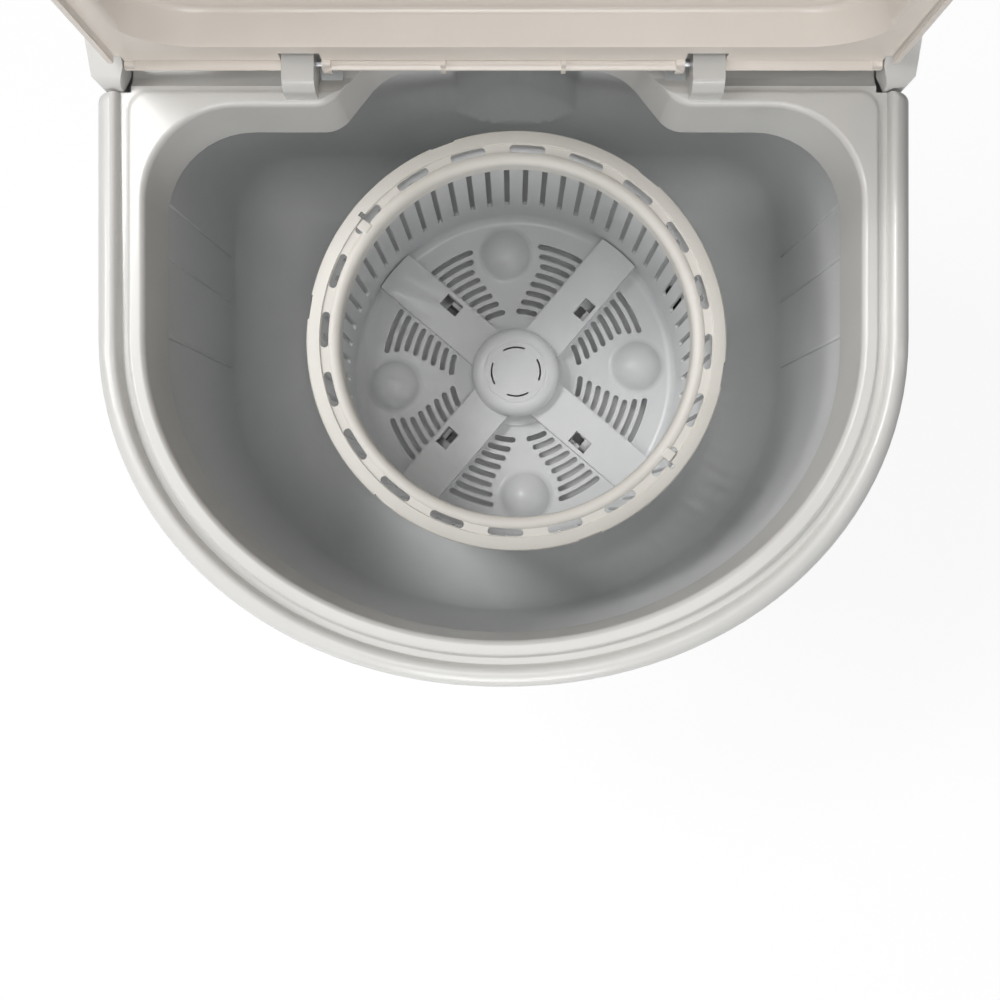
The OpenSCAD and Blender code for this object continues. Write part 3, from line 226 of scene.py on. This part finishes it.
# Carry grips: two grey pockets let into the sides, each a thin tray with rounded edges that snaps
# into its window in the case.
# Grey polypropylene with a fine texture: even and dull, so that the pocket looks deep
grip_grey = moulded_plastic("grip_polypropylene", "#9A9D9F", "#909395", 0.45, 30, 0.8, 0.06)


def block(low, high, edge_mm=0.0, turned=0.0):
    """A block between two corners in mm, with rounded edges, turned about the origin's upright."""
    bpy.ops.object.select_all(action="DESELECT")
    size = [(b - a) / 1000 for a, b in zip(low, high)]
    bpy.ops.mesh.primitive_cube_add(size=1, location=[(a + b) / 2000 for a, b in zip(low, high)])
    made = bpy.context.object
    made.scale = size
    bpy.ops.object.transform_apply(location=True, rotation=True, scale=True)
    if edge_mm > 0:
        bpy.ops.object.mode_set(mode="EDIT")
        bpy.ops.mesh.select_all(action="SELECT")
        bpy.ops.mesh.bevel(offset=edge_mm / 1000, segments=3, affect="EDGES")
        bpy.ops.object.mode_set(mode="OBJECT")
    if turned:
        made.data.transform(Matrix.Rotation(math.radians(turned), 4, "Z"))
    return made


def combine(piece, tool, operation):
    """Cuts a tool out of a piece, or welds it on, and removes the tool."""
    select_only(piece)
    change = piece.modifiers.new("change", "BOOLEAN")
    change.operation = operation
    change.solver = "EXACT"
    change.object = tool
    bpy.ops.object.modifier_apply(modifier="change")
    bpy.data.objects.remove(tool)


trays = []
for side in (-1, 1):
    tray = block((170.9, -17.6, 390.4), (181.0, 77.6, 419.6), 0.3)
    combine(tray, block((172.5, -16.2, 391.8), (192, 76.2, 418.2), 5), "DIFFERENCE")
    if side < 0:
        tray.data.transform(Matrix.Scale(-1, 4, (1, 0, 0)))
        tray.data.flip_normals()
    trays.append(tray)
grips = join(trays)
grips.name = "grip_trays"
soften(grips, 0.4, sharp=50, smooth=40)
finish(grips, grip_grey)
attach(grips, "cabinet")
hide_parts("carry_grips")


# Rear cover: a flat white cover with two rows of louvres, let into the back of the case and held by
# four cross-head screws of zinc-plated steel.
def bare_metal(name, light, dark, roughness, patch_mm, grain_mm, grain_depth, stretch=(1, 1, 1)):
    """Metal in two close tones, its grain drawn coarser than real so that it shows, and stretched
    along the way the metal was rolled or turned."""
    material, tree = new_material(name)
    place = add_node(tree, "ShaderNodeTexCoord", {}, {})
    drawn = add_node(tree, "ShaderNodeMapping", {"Scale": stretch}, {"Vector": (place, "Object")})
    patches = add_node(tree, "ShaderNodeTexVoronoi", {"Scale": 1000 / patch_mm, "Randomness": 1.0},
                       {"Vector": (drawn, "Vector")})
    tone = add_node(tree, "ShaderNodeValToRGB", {}, {"Fac": (patches, "Distance")})
    tone.color_ramp.elements[0].position = 0.15
    tone.color_ramp.elements[0].color = linear(light)
    tone.color_ramp.elements[1].position = 0.85
    tone.color_ramp.elements[1].color = linear(dark)
    grain = add_node(tree, "ShaderNodeTexNoise", {"Scale": 1000 / grain_mm, "Detail": 3},
                     {"Vector": (drawn, "Vector")})
    gloss = add_node(tree, "ShaderNodeMapRange",
                     {"From Min": 0.3, "From Max": 0.7,
                      "To Min": roughness * 0.8, "To Max": roughness * 1.3},
                     {"Value": (grain, "Fac")})
    bump = add_node(tree, "ShaderNodeBump", {"Strength": 0.4, "Distance": grain_depth / 1000},
                    {"Height": (grain, "Fac")})
    shader = add_node(tree, "ShaderNodeBsdfPrincipled", {"Metallic": 1.0},
                      {"Base Color": (tone, "Color"), "Roughness": (gloss, "Result"),
                       "Normal": (bump, "Normal")})
    add_node(tree, "ShaderNodeOutputMaterial", {}, {"Surface": (shader, "BSDF")})
    return material


cover = block((-105, 173.9, 95), (105, 175.9, 245), 0.35)
louvre_rows, first_louvre, louvre_pitch = 7, 129, 13  # mm, as all sizes of the cover
louvre_length, louvre_height = 64, 4.2
blade_turn = Matrix.Rotation(math.radians(35), 4, "X")
louvres = []
openings = []
for row in range(louvre_rows):
    for left in (-74, 10):
        low = first_louvre + louvre_pitch * row
        openings.append(block((left, 170, low), (left + louvre_length, 180, low + louvre_height)))
        blade = block((left - 0.5, -0.7, -4.2), (left + louvre_length + 0.5, 0.7, 4.2), 0.4)
        blade.data.transform(Matrix.Translation((0, 0.1722, (low + 2.1) / 1000)) @ blade_turn)
        louvres.append(blade)
screw_hole_radius = 1.9
for x in (-98, 98):
    for z in (102, 238):
        bpy.ops.object.select_all(action="DESELECT")
        bpy.ops.mesh.primitive_cylinder_add(
            vertices=32, radius=screw_hole_radius / 1000, depth=0.02,
            location=(x / 1000, 0.175, z / 1000), rotation=(math.pi / 2, 0, 0))
        bpy.ops.object.transform_apply(location=True, rotation=True, scale=True)
        openings.append(bpy.context.object)
combine(cover, join(openings), "DIFFERENCE")
soften(cover, 0.25, sharp=50, smooth=40)
cover = join([cover] + louvres)
cover.name = "louvred_cover"
finish(cover, case_pp)
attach(cover, "cabinet")
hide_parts("rear_cover")
# Zinc plate: bright but soft, with a faint spangle of 4 mm and no clear reflections
zinc_plate = bare_metal("zinc_plated_steel", "#C3C6C9", "#AEB1B6", 0.37, 4, 0.4, 0.01)
screws = merged_copy("cover_screws", "cover_screw_set", 0.15, sharp=50)
finish(screws, zinc_plate)
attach(screws, "cabinet")
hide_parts("cover_screws")


# Water fittings: grey inlet and drain spigots in their cups, for hoses that push on, and the black
# gland through which the machine's own cord would pass. All three snap into the back of the case.
# Grey polypropylene, plainer than the case: an even mid grey with a weak sheen
fitting_grey = moulded_plastic("fitting_polypropylene", "#A3A6A8", "#999C9E", 0.42, 25, 0.7, 0.05)
# Black ABS: nearly black, with a soft light along its edges
black_abs = moulded_plastic("black_abs", "#2E2F31", "#242527", 0.4, 20, 0.6, 0.05)
for node_name, piece_name, look, slot_name in (
        ("water_inlet", "inlet_spigot", fitting_grey, "grey_plastic"),
        ("drain_pipe", "drain_elbow", fitting_grey, "grey_plastic"),
        ("cord_gland", "gland_bush", black_abs, "dark_plastic")):
    fitting = merged_copy(node_name, piece_name, 0.3, sharp=50)
    finish(fitting, look)
    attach(fitting, "cabinet")
    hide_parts(node_name)


# Bearing housing: an aluminium casting bolted under the tub with six bolts. Two ball bearings and a
# rubber seal in its neck carry the stainless shaft.
# Blasted cast aluminium: a dull silver with a fine pitted grain
cast_alloy = bare_metal("cast_aluminium", "#B3B5B7", "#9C9EA1", 0.5, 2.5, 0.7, 0.08)
# Stainless steel from the lathe: bright, with fine lines round the shaft that draw its light out
turned_steel = bare_metal("turned_stainless_steel", "#C9CACC", "#B9BBBE", 0.2,
                          3, 0.25, 0.008, (1, 1, 8))
# Ground bearing steel: the clearest reflections of all the metals here
bearing_steel = bare_metal("ground_bearing_steel", "#B7B9BC", "#A6A8AC", 0.18,
                           3, 0.2, 0.004, (1, 1, 6))
finish(nodes["bearing_housing"], cast_alloy)
finish(nodes["housing_bolts"], zinc_plate)
finish(nodes["upper_bearing"], bearing_steel)
finish(nodes["lower_bearing"], bearing_steel)
finish(nodes["shaft_seal"], foot_rubber)
finish(nodes["drive_shaft"], turned_steel)


# Motor: a rolled steel case with dark enamel, on a pressed bracket. Four rubber mounts between
# bracket and pan keep its hum out of the case, and twelve bolts and nuts hold it.
# Stoved enamel: dark grey with a slight orange peel under a clear gloss
enamel = moulded_plastic("dark_motor_enamel", "#3E4347", "#34383C", 0.34, 25, 1.5, 0.05, 0.3)
finish(nodes["motor"], enamel)
finish(nodes["motor_shaft"], bearing_steel)
finish(nodes["motor_bracket"], zinc_plate)
finish(nodes["motor_mounts"], foot_rubber)
finish(nodes["motor_bolts"], zinc_plate)


# Pulleys and belt: a cast pulley on the motor drives a large black nylon pulley under the tub
# through one rubber V belt, and a nut holds the large one on its shaft.
# Glass-filled nylon: black with a dry, slightly grey skin
black_nylon = moulded_plastic("black_nylon", "#303234", "#26282A", 0.5, 18, 0.6, 0.06)
finish(nodes["driven_pulley"], black_nylon)
finish(nodes["motor_pulley"], cast_alloy)
finish(nodes["pulley_nut"], zinc_plate)
finish(nodes["drive_belt"], foot_rubber)


# Capacitor: a white plastic can that starts the motor. A clip of plated strip steel, screwed to
# the pan, holds it upright.
# Polyester film can: a creamy white with a satin face
capacitor_white = moulded_plastic("capacitor_polyester", "#DEDCD6", "#D3D1CB", 0.4, 20, 0.6, 0.03)
finish(nodes["capacitor"], capacitor_white)
finish(nodes["capacitor_clip"], zinc_plate)


# Wash tub: light grey polypropylene with a wide round at the foot and a scoop in the back wall. The
# frame holds it by its flange. Thin ribs on both side walls rub the laundry.
# Light grey polypropylene: a satin face that shows broad, soft reflections of basket and lid
tub_grey = moulded_plastic("grey_tub_polypropylene", "#E3E4E4", "#DDDFDF", 0.42, 60, 0.8, 0.05)
tub_shell = merged_copy("wash_tub", "tub_shell", 0)
rib_places = (-12, 27, 54)
half_rib = 0.9
ribs = []
for side in (-1, 1):
    for y in rib_places:
        rib = block((166.2, y - half_rib, 296), (167.6, y + half_rib, 478), 0.45)
        # The walls of the tub lean inwards by 2.5 mm over their 203 mm of height
        for vertex in rib.data.vertices:
            vertex.co.x = side * (vertex.co.x - 0.0025 * (0.491 - vertex.co.z) / 0.203)
        select_only(rib)
        bpy.ops.object.mode_set(mode="EDIT")
        bpy.ops.mesh.select_all(action="SELECT")
        bpy.ops.mesh.normals_make_consistent(inside=False)
        bpy.ops.object.mode_set(mode="OBJECT")
        bpy.ops.object.shade_smooth_by_angle(angle=math.radians(50))
        ribs.append(rib)
tub_ribs = join(ribs)
tub_ribs.name = "tub_rubbing_ribs"
finish(tub_shell, tub_grey)
finish(tub_ribs, tub_grey)
for part in (tub_shell, tub_ribs):
    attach(part, "cabinet")
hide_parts("wash_tub")


# Top frame: the white moulding with the kerb, the groove for the lid, the deck that falls in a soft
# roll to the collar, and the two hinge posts. It snaps over the case and carries the tub.
# White polypropylene from a more polished mould: a brighter line along each rounded edge
frame_pp = moulded_plastic("white_frame_polypropylene", "#D9D8D5", "#D6D5D2", 0.34,
                           45, 0.9, 0.04, 0.25)
top_rim = merged_copy("top_frame", "top_rim", 0, smooth=40)
# The floor of the groove lies 2 mm lower than in the CAD, and rises to it just before the trough
groove_floor, groove_drop = 0.4988, 0.002
groove_end, groove_rise = 0.0925, 0.008
for vertex in top_rim.data.vertices:
    if abs(vertex.co.z - groove_floor) < 0.00003 and vertex.co.y < groove_end:
        vertex.co.z -= groove_drop * min(1, (groove_end - vertex.co.y) / groove_rise)
soften(top_rim, 0, smooth=40)
finish(top_rim, frame_pp)
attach(top_rim, "cabinet")
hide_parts("top_frame")


# Rear console: white hood over the switches, with a cheek at each end of the hinge. It is moulded
# in one piece and screwed to the case from behind.
hood = merged_copy("rear_console", "console_hood", 0.7, sharp=45)
finish(hood, frame_pp)
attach(hood, "cabinet")
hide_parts("rear_console")


# Control panel: a grey strip let into the slope of the hood, with printed scales round the knobs:
# a tick for each minute of the timer, and three places of the mode switch.
def curved_slot(radius, half_width, start, end, low, high, centre=drive_axis):
    """A solid like a curved slot with round ends (mm, and degrees round the centre)."""
    steps = max(2, round((end - start) / 4))
    points = []
    for i in range(steps + 1):
        points.append((radius + half_width, start + (end - start) * i / steps, 0, 0))
    for j in range(1, 6):
        points.append((radius, end, half_width, end + 30 * j))
    for i in range(steps + 1):
        points.append((radius - half_width, end + (start - end) * i / steps, 0, 0))
    for j in range(1, 6):
        points.append((radius, start, half_width, start + 180 + 30 * j))
    bpy.ops.object.select_all(action="DESELECT")
    bpy.ops.mesh.primitive_circle_add(vertices=len(points), radius=0.05, fill_type="NGON")
    cutter = bpy.context.object
    for vertex, (r, a, w, b) in zip(cutter.data.vertices, points):
        a, b = math.radians(a), math.radians(b)
        vertex.co = ((r * math.cos(a) + w * math.cos(b) + centre[0]) / 1000,
                     (r * math.sin(a) + w * math.sin(b) + centre[1]) / 1000, low / 1000)
    bpy.ops.object.mode_set(mode="EDIT")
    bpy.ops.mesh.select_all(action="SELECT")
    bpy.ops.mesh.extrude_region_move(TRANSFORM_OT_translate={"value": (0, 0, (high - low) / 1000)})
    bpy.ops.mesh.select_all(action="SELECT")
    bpy.ops.mesh.normals_make_consistent(inside=False)
    bpy.ops.object.mode_set(mode="OBJECT")
    return cutter


slope_y, slope_z = 0.14775, 0.5371
slope_turn = Matrix.Rotation(math.radians(18), 4, "X")
timer_x, mode_x = -78, 78  # places of the two knobs (mm)


def on_slope(piece, x):
    """Lays a piece made round the origin on the slope of the panel, x mm from the middle."""
    piece.data.transform(Matrix.Translation((x / 1000, slope_y, slope_z)) @ slope_turn)
    return piece


def printed_tick(angle, inner, outer, width):
    """A flat printed line that points at the middle of a knob."""
    return block((inner, -width / 2, 1.0), (outer, width / 2, 1.05), 0, angle)


def printed_number(words, angle, radius, height):
    """A plain number beside a knob, as a thin flat mesh."""
    bpy.ops.object.select_all(action="DESELECT")
    bpy.ops.object.text_add(location=(0, 0, 0))
    number = bpy.context.object
    number.data.body = words
    number.data.size = height / 1000
    number.data.extrude = 0.00002
    number.data.align_x = "CENTER"
    number.data.align_y = "CENTER"
    bpy.ops.object.convert(target="MESH")
    number = bpy.context.object
    x = radius * math.cos(math.radians(angle)) / 1000
    y = radius * math.sin(math.radians(angle)) / 1000
    number.data.transform(Matrix.Translation((x, y, 0.00103)))
    return number


# Satin ABS: a cool even grey, a little darker than the hood, with a thin bright edge
panel_grey = moulded_plastic("panel_abs", "#C6C9CC", "#C3C6C9", 0.34, 30, 0.5, 0.02, 0.1)
panel = merged_copy("control_panel", "panel_strip", 0.4, sharp=50)
finish(panel, panel_grey)
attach(panel, "cabinet")
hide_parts("control_panel")
degrees_a_minute = 20
tick_inner, short_tick, long_tick = 17.9, 18.9, 19.6
arc_radius, number_radius, number_height = 22, 25, 5.5
marks = []
for minute in range(16):
    outer, width = (long_tick, 0.5) if minute % 3 == 0 else (short_tick, 0.3)
    tick = printed_tick(90 - degrees_a_minute * minute, tick_inner, outer, width)
    marks.append(on_slope(tick, timer_x))
for words, angle in (("3", 30), ("6", -30), ("12", -150), ("15", 150)):
    marks.append(on_slope(printed_number(words, angle, number_radius, number_height), timer_x))
for start, end in ((-32, 32), (148, 212)):
    marks.append(on_slope(curved_slot(arc_radius, 0.2, start, end, 1.0, 1.05, (0, 0)), timer_x))
for angle in (30, 90, 150):
    marks.append(on_slope(printed_tick(angle, tick_inner, long_tick, 0.6), mode_x))
for words, angle in (("1", 150), ("2", 30)):
    marks.append(on_slope(printed_number(words, angle, number_radius, number_height), mode_x))
prints = join(marks)
prints.name = "panel_printing"
# Screen ink, dark grey and matt against the satin strip
ink = moulded_plastic("dark_screen_ink", "#4B5056", "#43484E", 0.6, 8, 0.4, 0.01)
finish(prints, ink)
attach(prints, "cabinet")


# Switches: a clockwork timer and a rotary switch in black housings hang under the panel, and their
# plated spindles come up through it.
finish(nodes["wash_timer"], black_abs)
finish(nodes["mode_switch"], black_abs)
finish(nodes["timer_spindle"], zinc_plate)
finish(nodes["mode_spindle"], zinc_plate)


# Knobs: white ABS, each with a broad finger bar across a fluted skirt and a grey pointer line. They
# push onto the flats of the spindles.
# White ABS: whiter and glossier than the case, with small clear highlights
knob_abs = moulded_plastic("white_knob_abs", "#F0EFED", "#EAE9E7", 0.22, 20, 0.5, 0.02, 0.3)
# Grey ink in the groove of the pointer: flat and matt
pointer_ink = moulded_plastic("grey_pointer_ink", "#6A7078", "#626870", 0.5, 8, 0.4, 0.01)
knob_skirt = [(0, 1.3), (16.6, 1.3), (17, 1.7), (17, 4.0), (16.6, 4.7), (15.6, 5.3), (13, 6.2),
              (11, 6.4), (0, 6.4)]
flute_count, flute_radius = 36, 0.7
bar_foot, bar_narrower, bar_shorter = 0.01, 0.86, 0.93
for body, x in (("wash_timer_knob", timer_x), ("mode_knob", mode_x)):
    knob = turn(body + "_turned", knob_skirt, 96, (0, 0))
    bar = block((-4.4, -15.4, 3), (4.4, 15.4, 16.2), 1.6)
    for vertex in bar.data.vertices:
        if vertex.co.z > bar_foot:
            vertex.co.y *= bar_shorter
            vertex.co.x *= bar_narrower
    combine(knob, bar, "UNION")
    flutes = []
    for i in range(flute_count):
        bpy.ops.object.select_all(action="DESELECT")
        bpy.ops.mesh.primitive_cylinder_add(vertices=10, radius=flute_radius / 1000, depth=0.003,
                                            location=(0.0174, 0, 0.0029))
        flute = bpy.context.object
        bpy.ops.object.transform_apply(location=True, rotation=True, scale=True)
        flute.data.transform(Matrix.Rotation(math.radians(10 * i + 5), 4, "Z"))
        flutes.append(flute)
    combine(knob, join(flutes), "DIFFERENCE")
    combine(knob, block((-0.7, 7, 15.7), (0.7, 20, 18)), "DIFFERENCE")
    soften(knob, 0.25, sharp=40, smooth=40)
    line = block((-0.6, 7.1, 15.6), (0.6, 13.6, 15.85))
    finish(knob, knob_abs)
    finish(line, pointer_ink)
    line.name = body + "_pointer"
    for part in (knob, line):
        on_slope(part, x)
        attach(part, body)
    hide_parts(body)


# Pulsator: pale grey moulding under the basket, with four vanes that reach up into the hollow arms
# of the basket base and turn it. A stainless screw holds it on the shaft.
# Pale polypropylene, thin and smooth: nearly white, with a soft gloss on arms and domes
basket_pp = moulded_plastic("pale_basket_polypropylene", "#ECEDED", "#E7E8E9", 0.36,
                            40, 0.7, 0.03, 0.2)
to_drive = Matrix.Translation((drive_axis[0] / 1000, drive_axis[1] / 1000, 0))
vanes = merged_copy("pulsator", "pulsator_moulding", 0, sharp=45)
holes = []
for i in range(4):
    hole = block((50.6, -10, 283), (57.4, -2.6, 291), 0, 49.6 + 90 * i)
    hole.data.transform(to_drive)
    holes.append(hole)
combine(vanes, join(holes), "DIFFERENCE")
soften(vanes, 0)
finish(vanes, basket_pp)
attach(vanes, "pulsator")
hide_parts("pulsator")
finish(nodes["pulsator_screw"], turned_steel)


# Basket base: pale grey moulding with four hollow arms over the vanes of the pulsator, a dome in
# each quarter and fans of drain slots. It turns with the pulsator and lifts out with the basket.
base = merged_copy("basket_base", "basket_floor", 0.7, sharp=35, smooth=35)
finish(base, basket_pp)
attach(base, "spin_basket")
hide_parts("basket_base")


def fillet(middle, radius, start, end, foot, centre=drive_axis):
    """A hollow round that fills an inner corner, spun round an upright axis (mm and degrees)."""
    arc = []
    for j in range(9):
        angle = math.radians(start + (end - start) * j / 8)
        arc.append((middle[0] + radius * math.cos(angle), middle[1] + radius * math.sin(angle)))
    return turn("fillet", arc + foot, 120, centre)


rounds = [fillet((91.6, 286.2), 5.2, 270, 360, [(96.9, 286.2), (96.9, 280.6), (91.6, 280.6)]),
          fillet((29, 287), 3, 180, 270, [(29, 283.6), (25.6, 283.6), (25.6, 287)])]
dome_circle, first_dome = 73.8, 4.6
for i in range(4):
    angle = math.radians(90 * i + first_dome)
    centre = (drive_axis[0] + dome_circle * math.cos(angle),
              dome_circle * math.sin(angle) + drive_axis[1])
    rounds.append(fillet((17.46, 285), 4, 210.4, 270, [(17.46, 280.6), (13.6, 280.6)], centre))
base_rounds = join(rounds)
base_rounds.name = "basket_floor_rounds"
soften(base_rounds, 0, smooth=50)
finish(base_rounds, basket_pp)
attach(base_rounds, "spin_basket")


# Basket wall: pale grey polypropylene cylinder with sixty upright slots with round ends, through
# which the water is spun out. Its foot is welded to the base.
def upright_slot(angle, half_width, low, high, radius):
    """A solid like an upright slot with round ends through the basket wall (mm and degrees)."""
    points = []
    for first, middle in ((0, high - half_width), (180, low + half_width)):
        for j in range(7):
            turned = math.radians(first + 30 * j)
            points.append((half_width * math.cos(turned), middle + half_width * math.sin(turned)))
    bpy.ops.object.select_all(action="DESELECT")
    bpy.ops.mesh.primitive_circle_add(vertices=len(points), radius=0.05, fill_type="NGON")
    cutter = bpy.context.object
    for vertex, (across, height) in zip(cutter.data.vertices, points):
        vertex.co = ((radius - 4) / 1000, across / 1000, height / 1000)
    bpy.ops.object.mode_set(mode="EDIT")
    bpy.ops.mesh.select_all(action="SELECT")
    bpy.ops.mesh.extrude_region_move(TRANSFORM_OT_translate={"value": (0.008, 0, 0)})
    bpy.ops.mesh.select_all(action="SELECT")
    bpy.ops.mesh.normals_make_consistent(inside=False)
    bpy.ops.object.mode_set(mode="OBJECT")
    cutter.data.transform(to_drive @ Matrix.Rotation(math.radians(angle), 4, "Z"))
    return cutter


wall_section = [(92.8, 276), (97.8, 276), (98.8, 277.5), (98.8, 456.6), (96.8, 456.6),
                (96.8, 279.5), (92.8, 279.5)]
slot_count, half_slot, slot_foot, slot_head = 60, 1.45, 314, 436
wall = turn("basket_wall", wall_section, 180)
wall_slots = [upright_slot(6 * i + 3, half_slot, slot_foot, slot_head, 98)
              for i in range(slot_count)]
combine(wall, join(wall_slots), "DIFFERENCE")
soften(wall, 0.2, sharp=50, smooth=40)
finish(wall, basket_pp)
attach(wall, "spin_basket")
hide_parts("spin_basket")


# Basket ring: cream polypropylene, moulded on its own and clipped over the upper edge of the
# basket. Its inner roll keeps the laundry off the edge, and the water that is spun off leaves by
# the slots of the channel.
ring_section = [(101.9, 446), (101.9, 457.6), (101.6, 458.4), (101.0, 458.9), (98.5, 459.5),
                (95.7, 460.0), (95.35, 459.9), (95.2, 459.6), (95.15, 458.8), (91.3, 458.8),
                (91.0, 459.2), (90.3, 459.7), (89.0, 460.0), (87.8, 459.8), (86.6, 459.2),
                (85.8, 458.2), (85.4, 457.0), (85.3, 455.5), (85.3, 448), (86.9, 448),
                (86.9, 457.0), (99.4, 457.0), (99.4, 446)]
ring = turn("slotted_ring", ring_section, 180)
channel_slots, channel_radius = 20, 93
ring_cuts = [curved_slot(channel_radius, 1.9, 18 * i + 10.5, 18 * i + 18.9, 450, 470)
             for i in range(channel_slots)]
window_count, first_window = 6, 50.7
for i in range(window_count):
    notch = block((100.8, -6, 451), (106, 6, 471), 0.3, first_window + 60 * i)
    notch.data.transform(to_drive)
    ring_cuts.append(notch)
combine(ring, join(ring_cuts), "DIFFERENCE")
for angle in (141, 321):
    catch = block((94.3, -1.3, 455), (97.7, 1.3, 470), 0.4, angle)
    catch.data.transform(to_drive)
    combine(ring, catch, "DIFFERENCE")
for angle in (143.2, 323.2):
    snap = block((88.9, -2.7, 457.6), (94.6, 2.7, 460.6), 0.8, angle)
    snap.data.transform(to_drive)
    combine(ring, snap, "UNION")
soften(ring, 0.25, sharp=50, smooth=40)
# Cream polypropylene with a satin face, a little chalky where the ring is handled
ring_pp = moulded_plastic("cream_ring_polypropylene", "#D8D5CF", "#D3D0C9", 0.45, 30, 0.7, 0.04)
finish(ring, ring_pp)
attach(ring, "spin_basket")
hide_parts("basket_ring")


# Hub cap: pale grey polypropylene cap pressed into the hub over the screw, with a shallow ring
# groove and four slits that let a coin turn it out.
cap_section = [(0, 303.6), (17.2, 303.6), (20.4, 302.6), (21.2, 298.2), (21.2, 294), (23.3, 294),
               (23.3, 298), (26, 298), (26, 300), (25.5, 302.3), (24.2, 304.3), (22.3, 305.5),
               (20, 306), (18.9, 306), (18.6, 305.7), (18.2, 305.6), (17.8, 305.7), (17.5, 306),
               (0, 306.1)]
cap = turn("hub_cap_turned", cap_section, 128)
slit_radius, half_slit = 14.4, 0.5
slits = [curved_slot(slit_radius, half_slit, 90 * i - 19.4, 90 * i + 28.6, 300, 310)
         for i in range(4)]
combine(cap, join(slits), "DIFFERENCE")
soften(cap, 0.12, sharp=50, smooth=40)
finish(cap, basket_pp)
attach(cap, "spin_basket")
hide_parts("basket_hub_cap")


# Lid: one thin moulding of slightly warm white polypropylene, with a flat flange, a raised dome and
# a grip at the front. Two ears at the back turn on steel pins in the posts of the frame.
# Warm white polypropylene: slightly creamy beside the frame, with long soft reflections
lid_pp = moulded_plastic("warm_white_lid_polypropylene", "#EEE6DD", "#E9E0D6", 0.34,
                         70, 0.9, 0.04, 0.2)
lid_cover = merged_copy("lid", "lid_cover", 0, smooth=40)
finish(lid_cover, lid_pp)
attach(lid_cover, "lid")
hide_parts("lid")
finish(nodes["hinge_pins"], zinc_plate)


# The studio: a pale, plain floor that keeps the shadow and is white to the camera, as in the
# photograph, and an even white air that adds only a little light of its own.
bpy.ops.object.select_all(action="DESELECT")
bpy.ops.mesh.primitive_plane_add(size=12)
floor = bpy.context.object
floor.name = "studio_floor"
studio_white, tree = new_material("studio_white")
path = add_node(tree, "ShaderNodeLightPath", {}, {})
paper = add_node(tree, "ShaderNodeBsdfDiffuse", {"Color": linear("#F4F4F4")}, {})
glow = add_node(tree, "ShaderNodeEmission", {"Color": linear("#FFFFFF"), "Strength": 1.02}, {})
seen = add_node(tree, "ShaderNodeMath", {"operation": "MULTIPLY", 1: 0.88},
                {0: (path, "Is Camera Ray")})
mix = add_node(tree, "ShaderNodeMixShader", {}, {"Fac": (seen, 0), 1: (paper, 0), 2: (glow, 0)})
add_node(tree, "ShaderNodeOutputMaterial", {}, {"Surface": (mix, 0)})
finish(floor, studio_white)
world = bpy.data.worlds.new("studio_air")
bpy.context.scene.world = world
world.use_nodes = True
tree = world.node_tree
tree.nodes.clear()
path = add_node(tree, "ShaderNodeLightPath", {}, {})
seen = add_node(tree, "ShaderNodeMath", {"operation": "MAXIMUM"},
                {0: (path, "Is Camera Ray"), 1: (path, "Is Transmission Ray")})
strength = add_node(tree, "ShaderNodeMapRange", {"To Min": 0.06, "To Max": 1.0},
                    {"Value": (seen, 0)})
air = add_node(tree, "ShaderNodeBackground", {"Color": linear("#FFFFFF")},
               {"Strength": (strength, 0)})
add_node(tree, "ShaderNodeOutputWorld", {}, {"Surface": (air, 0)})


# Five soft square lamps, all aimed at the rim of the basket. The strongest hangs high at the back
# left, where the photograph's light comes from. Places and sizes in metres, power in watts.
basket_rim = Vector((0, -0.02, 0.44))
for name, place, size, power in (
        ("overhead_lamp", (0.05, -0.4, 2.4), 0.8, 7),
        ("front_lamp", (0, -1.8, 1.3), 0.9, 18),
        ("left_lamp", (-1.9, 0, 3.3), 0.8, 15),
        ("low_left_lamp", (-2.4, 0.2, 2.5), 0.9, 26),
        ("key_lamp", (-1.3, 0.8, 3.6), 0.6, 40)):
    data = bpy.data.lights.new(name, "AREA")
    data.size = size
    data.energy = power
    lamp = bpy.data.objects.new(name, data)
    lamp.location = place
    lamp.rotation_euler = (basket_rim - Vector(place)).to_track_quat("-Z", "Y").to_euler()
    bpy.context.scene.collection.objects.link(lamp)
bpy.context.scene.view_settings.view_transform = "Standard"

bpy.context.view_layer.update()
